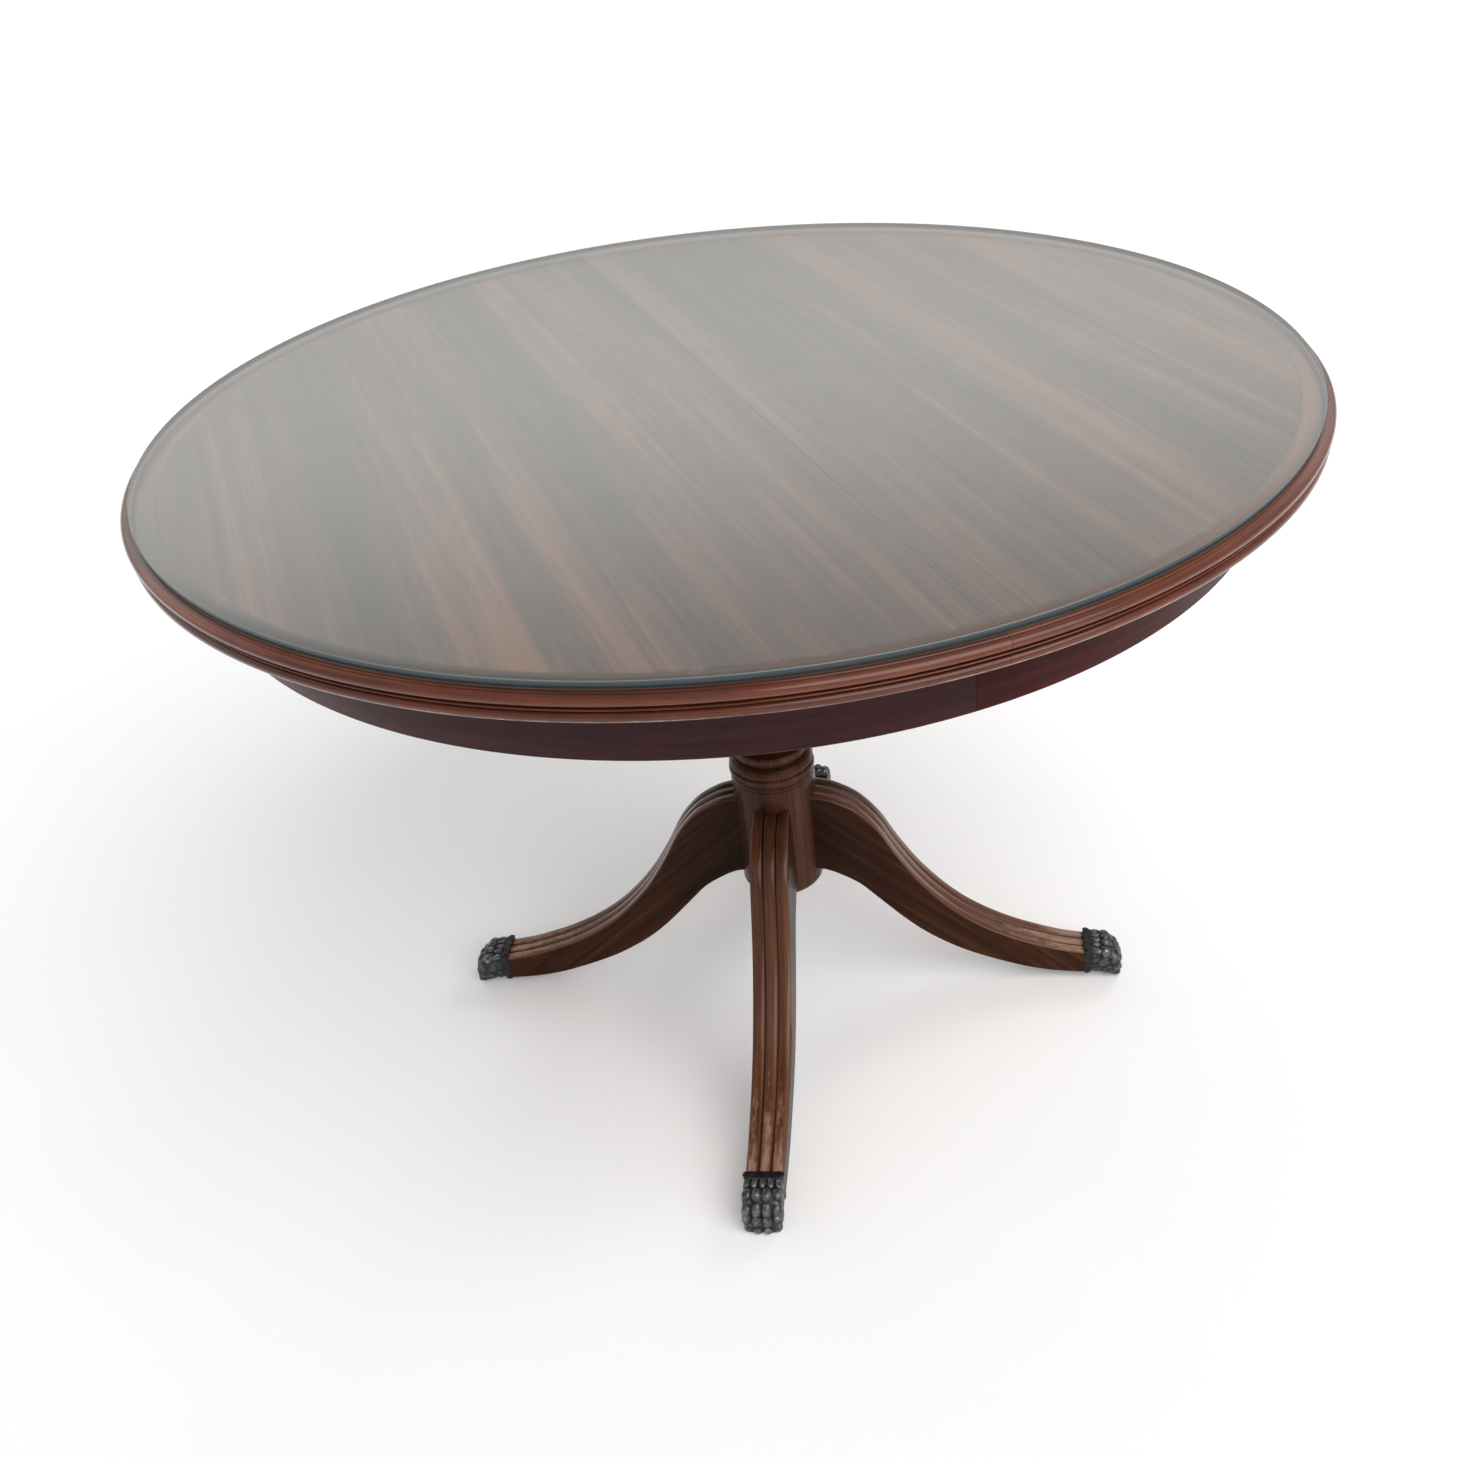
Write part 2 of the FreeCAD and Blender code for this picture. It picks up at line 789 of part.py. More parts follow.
def make_field(label, turn):
    """Half disc of veneered board, with two pins' holes in its seam edge."""
    body = new_body(label)
    radius = cell("field_radius")
    sketch = new_sketch(body, "XY_Plane", cell("top_underside"))
    outline(sketch, (0, -radius), [(radius, 0), (0, radius)])
    pad(body, sketch, wood_thick)
    middle = cell("top_underside") + wood_thick * 0.5
    holes = new_sketch(body, "YZ_Plane")
    for place_along in ("pin_inner", "pin_outer"):
        circle(holes, -cell(place_along), middle, cell("pin_radius") + cell("pin_play"))
    pocket(body, holes, cell("pin_reach") + 2, reverse=True)
    return place(body, x=half_shift(turn), turn=turn)


def make_rim(label, turn):
    """Half ring of solid wood round the field, moulded with an ovolo, an astragal and a lower bead."""
    body = new_body(label)
    low = cell("top_underside")
    inner = cell("field_radius") + cell("rim_glue_gap")
    flat = cell("rim_flat_radius")
    groove = cell("rim_groove_radius")
    level = cell("rim_groove_height")
    widest = cell("rim_radius")
    sketch = new_sketch(body, "XZ_Plane")
    outline(
        sketch,
        (inner, low),
        (551.5, low),
        [(552.8, 731.5), (553.3, 733)],
        [(558.4, 737.3), (554.6, 741.6)],
        (554.6, 742.2),
        [(556.9, 743.4), (groove, level - 0.8)],
        (groove, level + 0.8),
        [(widest, 750.7), (float(flat) + 0.8, 755.2)],
        (flat, 755.2),
        (flat, wood_surface - 0.4),
        (flat - 0.4, wood_surface),
        (inner, wood_surface),
    )
    turned(body, sketch, 180.0, symmetric=True)
    return place(body, x=half_shift(turn), turn=turn)


def make_apron(label, turn):
    """Bent half ring under the top."""
    body = new_body(label)
    outer = cell("apron_radius")
    inner = outer - cell("apron_thick")
    sketch = new_sketch(body, "XY_Plane", cell("top_underside") - cell("apron_drop"))
    outline(sketch, (0, inner), (0, outer), [(outer, 0), (0, -outer)], (0, -inner), [(inner, 0), (0, inner)])
    pad(body, sketch, cell("apron_drop"))
    return place(body, x=half_shift(turn), turn=turn)


def make_runner(label, turn, side):
    """Runner tongued into a fixed rail, its tongue stopped short of the batten. Side is +1 outside the rail."""
    body = new_body(label)
    low = runner_underside
    high = cell("top_underside")
    tongue_low = cell("tongue_height") - cell("tongue_thick") * 0.5
    tongue_high = cell("tongue_height") + cell("tongue_thick") * 0.5
    if side > 0:
        near = rail_outer + cell("runner_gap")
        far = near + cell("runner_wide")
        tongue = near - cell("tongue_reach") - cell("runner_gap")
    else:
        near = -rail_inner + cell("runner_gap")
        far = near + cell("runner_wide")
        tongue = near - cell("tongue_reach") - cell("runner_gap")
    sketch = new_sketch(body, "YZ_Plane", -cell("runner_tail"))
    outline(
        sketch,
        (near, low), (far, low), (far, high), (near, high),
        (near, tongue_high), (tongue, tongue_high), (tongue, tongue_low), (near, tongue_low),
    )
    pad(body, sketch, cell("runner_front") + cell("runner_tail"))
    relief = new_sketch(body, "XZ_Plane")
    rectangle(relief, -cell("runner_tail") - 1, 4, high - cell("runner_relief"), high + 1)
    pocket(body, relief, 400, symmetric=True)
    stopped = new_sketch(body, "XZ_Plane", -near)
    rectangle(stopped, cell("batten_start") - 4, cell("runner_front") + 1, tongue_low - 1, tongue_high + 1)
    pocket(body, stopped, cell("tongue_reach") + 4, reverse=True)
    return place(body, turn=turn)


def make_batten(label, turn):
    """Cross batten that ties the two runners of one half together."""
    body = new_body(label)
    start = cell("batten_start")
    left = -rail_inner + cell("runner_gap") + cell("runner_wide")
    right = rail_outer + cell("runner_gap")
    sketch = new_sketch(body, "XY_Plane", cell("top_underside") - cell("batten_tall"))
    rectangle(sketch, start, start + cell("batten_wide"), left, right)
    pad(body, sketch, cell("batten_tall"))
    return place(body, turn=turn)


def make_glue_blocks(label, turn):
    """Blocks glued in the corner between the top and the apron."""
    items = []
    for number, angle in enumerate((-80, -55, -30, 30, 55, 80)):
        block = doc.addObject("Part::Box", "%s_%d" % (label, number))
        bind(block, "Length", cell("glue_block_wide"))
        bind(block, "Width", cell("glue_block_long"))
        bind(block, "Height", cell("glue_block_tall"))
        aim = FreeCAD.Rotation(FreeCAD.Vector(0, 0, 1), angle + turn)
        corner = FreeCAD.Vector(
            float(cell("glue_block_face") - cell("glue_block_wide")),
            -float(cell("glue_block_long")) / 2,
            float(cell("top_underside") - cell("glue_block_tall")),
        )
        block.Placement = FreeCAD.Placement(aim.multVec(corner), aim)
        items.append(block)
    return group(label, items)


def make_seam_pins(label, turn):
    """Pins in one half's seam edge that enter the other half's holes."""
    items = []
    height = cell("top_underside") + wood_thick * 0.5
    sign = math.cos(math.radians(turn))
    for name in ("pin_inner", "pin_outer"):
        pin = cylinder("%s_%s" % (label, name), cell("pin_radius"), cell("pin_sunk") + cell("pin_reach"))
        pin.Placement = FreeCAD.Placement(
            FreeCAD.Vector(-sign * float(cell("pin_reach")), sign * float(cell(name)), float(height)),
            FreeCAD.Rotation(FreeCAD.Vector(0, 0, 1), FreeCAD.Vector(sign, 0, 0)),
        )
        items.append(pin)
    return group(label, items)


def make_fork(label, turn):
    """Flat brass aligner whose tongue crosses the seam."""
    body = new_body(label)
    middle = cell("fork_place")
    half = cell("fork_wide") * 0.5
    slim = cell("fork_tongue_wide") * 0.5
    sketch = new_sketch(body, "XY_Plane", cell("top_underside") - cell("fork_thick"))
    outline(
        sketch,
        (2, middle - half), (cell("fork_long"), middle - half),
        (cell("fork_long"), middle + half), (2, middle + half),
        (2, middle + slim), (-cell("fork_reach"), middle + slim - 1),
        (-cell("fork_reach"), middle - slim + 1), (2, middle - slim),
    )
    pad(body, sketch, cell("fork_thick"))
    return place(body, turn=turn)


def make_fork_socket(label, turn):
    """Slotted plate that takes the other half's tongue."""
    body = new_body(label)
    middle = -cell("fork_place")
    half = cell("fork_wide") * 0.5
    slim = cell("fork_tongue_wide") * 0.5 + 0.6
    deep = cell("fork_reach") + 2
    sketch = new_sketch(body, "XY_Plane", cell("top_underside") - cell("fork_thick"))
    outline(
        sketch,
        (2, middle - half), (cell("fork_long"), middle - half),
        (cell("fork_long"), middle + half), (2, middle + half),
        (2, middle + slim), (deep, middle + slim),
        (deep, middle - slim), (2, middle - slim),
    )
    pad(body, sketch, cell("fork_thick"))
    return place(body, turn=turn)


def make_top_screws(label, turn):
    """Screws up into the half top through its runners, batten and aligners."""
    run_out = float(rail_outer + cell("runner_gap") + cell("runner_wide") * 0.5)
    run_in = -float(rail_inner - cell("runner_gap") - cell("runner_wide") * 0.5)
    spots = [(x, y, runner_underside, 50.0) for x in (50, 190, 330, 430) for y in (run_out, run_in)]
    low = cell("top_underside") - cell("batten_tall")
    spots += [(float(cell("batten_start") + cell("batten_wide") * 0.5), y, low, 38.0) for y in (-30, 75)]
    plate = cell("top_underside") - cell("fork_thick")
    spots += [(x, y, plate, 16.0) for x in (32, 50) for y in (-330, 330)]
    items = []
    sign = math.cos(math.radians(turn))
    for number, (x, y, height, length) in enumerate(spots):
        item = screw("%s_%d" % (label, number), length)
        items.append(place(item, sign * x, sign * y, height))
    return group(label, items)


# --- Glass cover ------------------------------------------------------------------

def make_glass():
    """Loose round of glass with a ground arris on both edges."""
    body = new_body("glass_top")
    radius = cell("glass_radius")
    arris = cell("glass_arris")
    low = glass_underside
    high = cell("glass_surface")
    sketch = new_sketch(body, "XZ_Plane")
    outline(
        sketch,
        (0, low), (radius - arris, low), (radius, low + arris),
        (radius, high - arris), (radius - arris, high), (0, high),
    )
    turned(body, sketch)
    return body


def make_bumpers():
    """Clear discs that keep the glass off the polish."""
    items = []
    for number in range(8):
        angle = math.radians(22.5 + 45 * number)
        radius = float(cell("bumper_circle"))
        disc = cylinder("bumper_%d" % number, cell("bumper_radius"), cell("bumper_thick"))
        items.append(place(disc, radius * math.cos(angle), radius * math.sin(angle), wood_surface))
    return group("glass_bumpers", items)


# --- Build, check and write ---------------------------------------------------------

nodes = [make_column(), make_tie_rod(), make_rod_nuts(), make_top_block()]
for position, leg_name in enumerate(LEG_NAMES):
    nodes.append(make_leg("leg_" + leg_name, leg_angle(position)))
    nodes.append(make_paw("paw_" + leg_name, leg_angle(position)))
nodes += [make_leg_dowels(), make_cap_screws()]
nodes += [make_fixed_rail("fixed_rail_left", 0.0), make_fixed_rail("fixed_rail_right", 180.0)]
nodes += [make_rail_screws(), make_gear_plate(), make_gear_axle(), make_axle_clip(), make_gear_plate_screws()]
nodes.append(make_pinion())
for letter, half_turned in HALVES:
    nodes.append(make_field("field_" + letter, half_turned))
    nodes.append(make_rim("rim_" + letter, half_turned))
    nodes.append(make_apron("apron_" + letter, half_turned))
    nodes.append(make_runner("outer_runner_" + letter, half_turned, 1))
    nodes.append(make_runner("inner_runner_" + letter, half_turned, -1))
    nodes.append(make_batten("batten_" + letter, half_turned))
    nodes.append(make_rack("rack_" + letter, half_turned))
    nodes.append(make_rack_screws("rack_screws_" + letter, half_turned))
    nodes.append(make_glue_blocks("glue_blocks_" + letter, half_turned))
    nodes.append(make_seam_pins("seam_pins_" + letter, half_turned))
    nodes.append(make_fork("fork_" + letter, half_turned))
    nodes.append(make_fork_socket("fork_socket_" + letter, half_turned))
    nodes.append(make_top_screws("top_screws_" + letter, half_turned))
nodes += [make_glass(), make_bumpers()]
doc.recompute()

for item in doc.Objects:
    if "Invalid" in item.State or "Error" in item.State:
        raise ValueError("%s failed to compute" % item.Label)
for node in nodes:
    if node.Shape.isNull() or not node.Shape.isValid() or not node.Shape.Solids:
        raise ValueError("%s has no sound solid" % node.Label)

os.makedirs("parts", exist_ok=True)
for node in nodes:
    node.Shape.exportStep("parts/%s.step" % node.Label)
    print(node.Label, len(node.Shape.Solids), round(node.Shape.Volume))
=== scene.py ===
import json
import math

import bmesh
import bpy
from mathutils import Matrix, Vector


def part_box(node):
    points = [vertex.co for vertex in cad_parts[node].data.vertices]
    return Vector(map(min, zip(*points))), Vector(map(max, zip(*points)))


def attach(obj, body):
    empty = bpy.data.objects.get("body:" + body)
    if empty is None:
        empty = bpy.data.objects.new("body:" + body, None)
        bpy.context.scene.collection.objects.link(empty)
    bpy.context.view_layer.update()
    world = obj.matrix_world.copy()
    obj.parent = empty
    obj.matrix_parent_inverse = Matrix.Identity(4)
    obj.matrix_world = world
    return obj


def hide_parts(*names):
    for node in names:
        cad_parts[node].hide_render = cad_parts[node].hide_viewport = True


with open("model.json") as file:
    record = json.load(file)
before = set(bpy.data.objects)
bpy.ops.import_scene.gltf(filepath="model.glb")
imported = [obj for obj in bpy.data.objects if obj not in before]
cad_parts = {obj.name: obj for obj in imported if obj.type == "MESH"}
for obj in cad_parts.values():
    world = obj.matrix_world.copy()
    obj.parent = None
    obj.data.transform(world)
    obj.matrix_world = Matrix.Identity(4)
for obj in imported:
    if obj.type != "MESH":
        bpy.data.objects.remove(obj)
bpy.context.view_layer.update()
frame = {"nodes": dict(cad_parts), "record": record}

MM = 0.001
LEGS = ("right", "back", "left", "front")
HALVES = ("a", "b")

# Heights and radii read from the frame, in metres.
RIM_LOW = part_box("rim_a")[0].z
RIM_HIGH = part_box("rim_a")[1].z
RIM_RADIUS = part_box("rim_a")[1].y
FIELD_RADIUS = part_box("field_a")[1].y
APRON_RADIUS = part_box("apron_a")[1].y
APRON_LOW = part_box("apron_a")[0].z
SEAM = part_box("rim_a")[0].x
GLASS_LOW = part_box("glass_top")[0].z
GLASS_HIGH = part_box("glass_top")[1].z
GLASS_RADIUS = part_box("glass_top")[1].y
COLUMN_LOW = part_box("column")[0].z
APRON_THICKNESS = 18 * MM


# --- Meshes -------------------------------------------------------------------

def fraction(value, start, end):
    """How far a value has gone from start to end, held between 0 and 1."""
    return min(1.0, max(0.0, (value - start) / (end - start)))


def finish_mesh(name, bm, grain, wear_and_painted_shade=None, sharp=40):
    """Make an object from a bmesh, with a grain direction and a value at every vertex: wear where it is
    above zero, painted shade where it is below.
    """
    bmesh.ops.recalc_face_normals(bm, faces=bm.faces)
    mesh = bpy.data.meshes.new(name)
    bm.to_mesh(mesh)
    bm.free()
    piece = bpy.data.objects.new(name, mesh)
    bpy.context.scene.collection.objects.link(piece)
    mesh.shade_smooth()
    mesh.set_sharp_from_angle(angle=math.radians(sharp))
    along = mesh.attributes.new("grain", "FLOAT_VECTOR", "POINT")
    for vertex, value in zip(mesh.vertices, along.data):
        value.vector = grain(vertex.co)
    wear_and_shade = mesh.attributes.new("wear_and_painted_shade", "FLOAT", "POINT")
    if wear_and_painted_shade:
        for vertex, value in zip(mesh.vertices, wear_and_shade.data):
            value.value = wear_and_painted_shade(vertex)
    return piece


def arc(centre, radii, start, end, steps):
    """Points on an elliptic arc in the r, z plane. Angles are in degrees from +r towards +z."""
    points = []
    for step in range(steps + 1):
        angle = math.radians(start + (end - start) * step / steps)
        points.append((centre[0] + radii[0] * math.cos(angle), centre[1] + radii[1] * math.sin(angle)))
    return points


def spline(points, steps):
    """A smooth line through points, as a Catmull-Rom curve."""
    line = []
    last = len(points) - 1
    for index in range(last):
        before, here, there, after = (Vector(points[max(0, min(last, index + k))]) for k in (-1, 0, 1, 2))
        for step in range(steps):
            s = step / steps
            line.append(
                0.5 * (2 * here + (there - before) * s
                       + (2 * before - 5 * here + 4 * there - after) * s * s
                       + (3 * here - before - 3 * there + after) * s ** 3)
            )
    line.append(Vector(points[-1]))
    return line


def turn(profile, segments, start=0.0, sweep=360.0, shift=0.0):
    """Revolve a closed r, z outline about the upright axis. A part turn gets flat ends."""
    bm = bmesh.new()
    whole = abs(sweep) > 359.9
    rings = []
    for step in range(segments if whole else segments + 1):
        angle = math.radians(start + sweep * step / segments)
        rings.append([
            bm.verts.new((shift + r * math.cos(angle), r * math.sin(angle), z)) for r, z in profile
        ])
    count = len(profile)
    pairs = list(zip(rings, rings[1:] + (rings[:1] if whole else [])))
    for ring, following in pairs:
        for index in range(count):
            after = (index + 1) % count
            bm.faces.new((ring[index], following[index], following[after], ring[after]))
    if not whole:
        bm.faces.new(rings[0])
        bm.faces.new(list(reversed(rings[-1])))
    return bm


def in_mm(points):
    return [(r * MM, z * MM) for r, z in points]


def half_sweep(half):
    """Start angle and seam shift of one half top."""
    return (-90.0, SEAM) if half == "a" else (90.0, -SEAM)


def ring_grain(offset):
    """Grain that runs round the table."""
    def grain(co):
        radius = math.hypot(co.x, co.y)
        return (math.atan2(co.y, co.x) * RIM_RADIUS + offset, radius, co.z + offset)
    return grain


def make_rim(half):
    """Half of the moulded edge: fillet, ovolo, groove, small astragal, lower bead and a rounded arris."""
    top = RIM_HIGH
    low = RIM_LOW
    edge = RIM_RADIUS
    profile = [(FIELD_RADIUS + 0.15 * MM, low), (edge - 11.5 * MM, low), (edge - 8.5 * MM, low)]
    profile += arc((edge - 8.5 * MM, low + 1.4 * MM), (1.6 * MM, 1.4 * MM), -90, 0, 5)
    profile += arc((edge - 5.9 * MM, low + 6.3 * MM), (4.3 * MM, 4.2 * MM), -84, 84, 14)
    profile += [(edge - 5.4 * MM, low + 10.8 * MM), (edge - 5.4 * MM, low + 11.3 * MM)]
    profile += arc((edge - 5.0 * MM, low + 12.5 * MM), (1.9 * MM, 1.1 * MM), -75, 85, 8)
    profile += [(edge - 6.2 * MM, low + 13.7 * MM), (edge - 6.2 * MM, low + 15.0 * MM)]
    profile += arc((edge - 5.6 * MM, low + 19.7 * MM), (5.6 * MM, 4.6 * MM), -86, 84, 18)
    profile += [(edge - 6.2 * MM, low + 24.35 * MM), (edge - 6.5 * MM, top - 0.4 * MM)]
    profile += arc((edge - 6.9 * MM, top - 0.4 * MM), (0.4 * MM, 0.4 * MM), 0, 90, 3)
    profile += [(FIELD_RADIUS + 0.15 * MM, top)]
    start, shift = half_sweep(half)
    bm = turn(profile, 200, start, 180.0, shift)

    for face in bm.faces:
        if min(vertex.co.z for vertex in face.verts) > top - 0.01 * MM:
            face.material_index = 1

    def wear_and_painted_shade(vertex):
        radius = math.hypot(vertex.co.x - shift, vertex.co.y)
        height = (vertex.co.z - low) / MM
        if height < 6 and radius > edge - 9 * MM:
            return 1.0 - 0.06 * height
        return fraction(edge - radius, 2.2 * MM, 0) * (0.5 if height < 12 else 0.4)

    piece = finish_mesh("moulding_" + half, bm, ring_grain(0.31 if half == "a" else 2.7), wear_and_painted_shade, 32)
    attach(piece, "half_" + half)
    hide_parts("rim_" + half)
    piece.data.materials.append(wood_rim)
    piece.data.materials.append(wood_top)


def make_apron(half):
    """Half of the bent apron, its lower arrises eased."""
    low = APRON_LOW
    high = RIM_LOW
    outer = APRON_RADIUS
    inner = outer - APRON_THICKNESS
    ease = 1.6 * MM
    profile = [(inner, high), (inner, low + ease)]
    profile += arc((inner + ease, low + ease), (ease, ease), 180, 270, 4)
    profile += arc((outer - ease, low + ease), (ease, ease), 270, 360, 5)
    profile += [(outer, high)]
    start, shift = half_sweep(half)
    bm = turn(profile, 160, start, 180.0, shift)

    def wear_and_painted_shade(vertex):
        return 0.75 if vertex.co.z < low + 0.9 * ease else 0.0

    piece = finish_mesh("skirt_" + half, bm, ring_grain(1.4 if half == "a" else 4.1), wear_and_painted_shade, 32)
    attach(piece, "half_" + half)
    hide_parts("apron_" + half)
    piece.data.materials.append(wood_dark_red if half == "a" else wood_dark)


def make_field(half):
    """Half of the veneered board inside the moulding, its grain along the seam."""
    start, shift = half_sweep(half)
    side = 1 if half == "a" else -1
    bm = bmesh.new()
    steps = 200
    ease = 0.25 * MM
    layers = ((RIM_LOW, 0.0), (RIM_HIGH - ease, 0.0), (RIM_HIGH, ease))
    rings = []
    for height, inset in layers:
        ring = []
        for step in range(steps + 1):
            angle = math.radians(start + 180.0 * step / steps)
            x = max(side * (shift + FIELD_RADIUS * math.cos(angle)), abs(shift) + inset)
            ring.append(bm.verts.new((side * x, FIELD_RADIUS * math.sin(angle), height)))
        rings.append(ring)
    for ring, following in zip(rings, rings[1:]):
        for index in range(steps + 1):
            after = (index + 1) % (steps + 1)
            bm.faces.new((ring[index], ring[after], following[after], following[index]))
    bm.faces.new(rings[0])
    bm.faces.new(rings[-1])
    offset = 0.0 if half == "a" else 3.3
    piece = finish_mesh("board_" + half, bm, lambda co: (co.y + offset, co.x, co.z + offset), None, 30)
    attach(piece, "half_" + half)
    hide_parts("field_" + half)
    piece.data.materials.append(wood_top)


def make_glass():
    """The loose round of glass with ground and polished edges."""
    bm = bmesh.new()
    radius = GLASS_RADIUS
    arris = 0.9 * MM
    inner = radius - 14 * MM
    profile = [(inner, GLASS_LOW)]
    profile += arc((radius - arris, GLASS_LOW + arris), (arris, arris), -90, 0, 4)
    profile += arc((radius - arris, GLASS_HIGH - arris), (arris, arris), 0, 90, 4)
    profile += [(inner, GLASS_HIGH)]
    steps = 320
    rings = []
    for step in range(steps):
        angle = 2 * math.pi * step / steps
        rings.append([bm.verts.new((r * math.cos(angle), r * math.sin(angle), z)) for r, z in profile])
    for ring, following in zip(rings, rings[1:] + rings[:1]):
        for index in range(len(profile) - 1):
            face = bm.faces.new((ring[index], following[index], following[index + 1], ring[index + 1]))
            face.material_index = 1 if 0 < index < len(profile) - 2 else 0
    bm.faces.new([ring[0] for ring in reversed(rings)])
    bm.faces.new([ring[-1] for ring in rings])
    piece = finish_mesh("glass_round", bm, lambda co: co, None, 30)
    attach(piece, "glass")
    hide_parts("glass_top")
    piece.data.materials.append(glass_clear)
    piece.data.materials.append(glass_edge)


BUMPER_COUNT = 8
BUMPER_RADIUS = 5 * MM
BUMPER_CIRCLE = 530 * MM
# The bumpers stop a hair over the board, so nothing touches as a half top slides out.
BUMPER_GAP = 0.15 * MM


def make_bumpers():
    """Soft clear discs, slightly crowned, between the glass and the wood."""
    low = RIM_HIGH + BUMPER_GAP
    high = GLASS_LOW
    core = 0.6 * MM
    profile = [(core, low), (BUMPER_RADIUS, low), (BUMPER_RADIUS, high - 0.3 * MM)]
    profile += [(BUMPER_RADIUS - 0.5 * MM, high), (core, high)]
    bm = bmesh.new()
    for number in range(BUMPER_COUNT):
        angle = 2 * math.pi * (number + 0.5) / BUMPER_COUNT
        centre = Vector((BUMPER_CIRCLE * math.cos(angle), BUMPER_CIRCLE * math.sin(angle), 0))
        disc = turn(profile, 24)
        bmesh.ops.translate(disc, verts=disc.verts, vec=centre)
        keep = bpy.data.meshes.new("bumper")
        disc.to_mesh(keep)
        disc.free()
        bm.from_mesh(keep)
        bpy.data.meshes.remove(keep)
    piece = finish_mesh("bumpers", bm, lambda co: co, None, 30)
    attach(piece, "glass")
    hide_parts("glass_bumpers")
    piece.data.materials.append(bumper_clear)


DRUM_RADIUS = 47.5
SCRIBED_LINES = (306.2, 310.8)
# Radius and height of points on the vase and on the flare under the block, in millimetres.
VASE = [(37.5, 347.6), (32, 350.5), (28.6, 357), (31, 368), (38, 384), (46, 402),
        (54.5, 424), (57.5, 446), (53, 486), (42, 532), (37, 584)]
FLARE = [(40.5, 606), (43, 622), (53, 636), (65, 643)]


def make_column():
    """Turned column: flat foot, drum, scribed lines, beads, torus, cove and vase."""
    drum = DRUM_RADIUS
    foot = COLUMN_LOW / MM
    profile = [(5.5, foot), (20, foot), (38, foot)]
    profile += arc((38.5, foot + 9), (9, 9), -90, 0, 12)
    profile += [(drum, 200), (drum, 240), (drum, 280), (drum, 305.4)]
    for line in SCRIBED_LINES:
        profile += [(drum, line - 0.7), (drum - 0.7, line), (drum, line + 0.7)]
    profile += [(drum, 312.6), (drum - 0.5, 313)]
    profile += arc((drum - 0.9, 317.1), (2.0, 3.9), -80, 80, 12)
    profile += [(drum - 1.5, 321.4), (drum - 1.5, 322.6)]
    profile += arc((drum - 1.8, 325.8), (1.9, 3.0), -80, 60, 10)
    profile += arc((drum - 8.5, 326), (8.0, 9.2), 22, 80, 10)
    profile += [(drum - 7.6, 335.6), (drum - 7.8, 337.4)]
    profile += arc((drum - 8.2, 342.4), (3.4, 4.9), -75, 80, 14)
    profile += [tuple(p) for p in spline(VASE, 8)]
    profile += [(41, 586)]
    profile += arc((43, 594), (5.5, 7.4), -80, 80, 12)
    profile += [(41, 602), (40, 604)]
    profile += [tuple(p) for p in spline(FLARE, 6)]
    profile += [(66, 644.5), (66, 660), (5.5, 660)]
    bm = turn(in_mm(profile), 144)

    def wear_and_painted_shade(vertex):
        height = vertex.co.z / MM
        radius = math.hypot(vertex.co.x, vertex.co.y) / MM
        if 312 < height < 330:
            return max(0.0, (radius - drum + 1.2) / 2.4) * 0.5
        if 338 < height < 347:
            return max(0.0, (radius - 40.5) / 2.4) * 0.6
        if 157 < height < 163:
            return 0.3
        # Painted shade: elsewhere the column is darkened a little, and more from 290 mm up, where it stands
        # under the top.
        return -0.2 - 0.35 * fraction(height, 290, 330)

    piece = finish_mesh("pillar", bm, lambda co: (co.z, co.x + 0.4, co.y + 0.2), wear_and_painted_shade, 35)
    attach(piece, "pedestal")
    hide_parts("column")
    piece.data.materials.append(wood_base)


# Height of a leg's top edge and of its underside, at distances out from the column's axis, in millimetres.
CREST = [(45, 281.5), (56, 279.3), (66, 276.2), (79, 269.6), (92, 261), (105, 248), (119, 229), (137, 195.5),
         (160, 158.8), (185, 128.3), (210, 104.2), (235, 86.2), (260, 72.2), (285, 61.2), (310, 52.5),
         (330, 46.5), (352.3, 42.2), (358, 41.3)]
BELLY = [(45, 178), (56, 175.2), (70, 168.5), (92, 154), (114, 130.8), (137, 106), (160, 84), (184, 66),
         (210, 50.5), (235, 38.8), (260, 29), (285, 20.5), (310, 14.5), (330, 11.5), (352.3, 9.5),
         (358, 9.1)]
LEG_HALF_WIDTH = 21.5
LEG_TAPER = 1.3
LEG_STATIONS = 84
REED_COUNT = 3
REED_DEPTH = 3.4


def even(line, count):
    """Points evenly spaced along a line."""
    lengths = [0.0]
    for here, there in zip(line, line[1:]):
        lengths.append(lengths[-1] + (there - here).length)
    spots = []
    index = 0
    for step in range(count):
        target = lengths[-1] * step / (count - 1)
        while index < len(line) - 2 and lengths[index + 1] < target:
            index += 1
        span = lengths[index + 1] - lengths[index]
        spots.append(line[index].lerp(line[index + 1], (target - lengths[index]) / span if span else 0.0))
    return spots


def reed_section():
    """Points on a leg's top face: place across, from -1 to 1, and depth below the crest."""
    across = []
    reed = 2 / REED_COUNT
    steps = 10
    for number in range(REED_COUNT):
        middle = -1 + reed * (number + 0.5)
        for step in range(steps + 1):
            s = -1 + 2 * step / steps
            bow = math.sqrt(max(0.0, 1 - (abs(s) * 0.985) ** 2.4))
            across.append((middle + s * (reed / 2 - 0.018), REED_DEPTH * (1 - bow)))
        if number < 2:
            across.append((middle + reed / 2, 4.8))
    return across


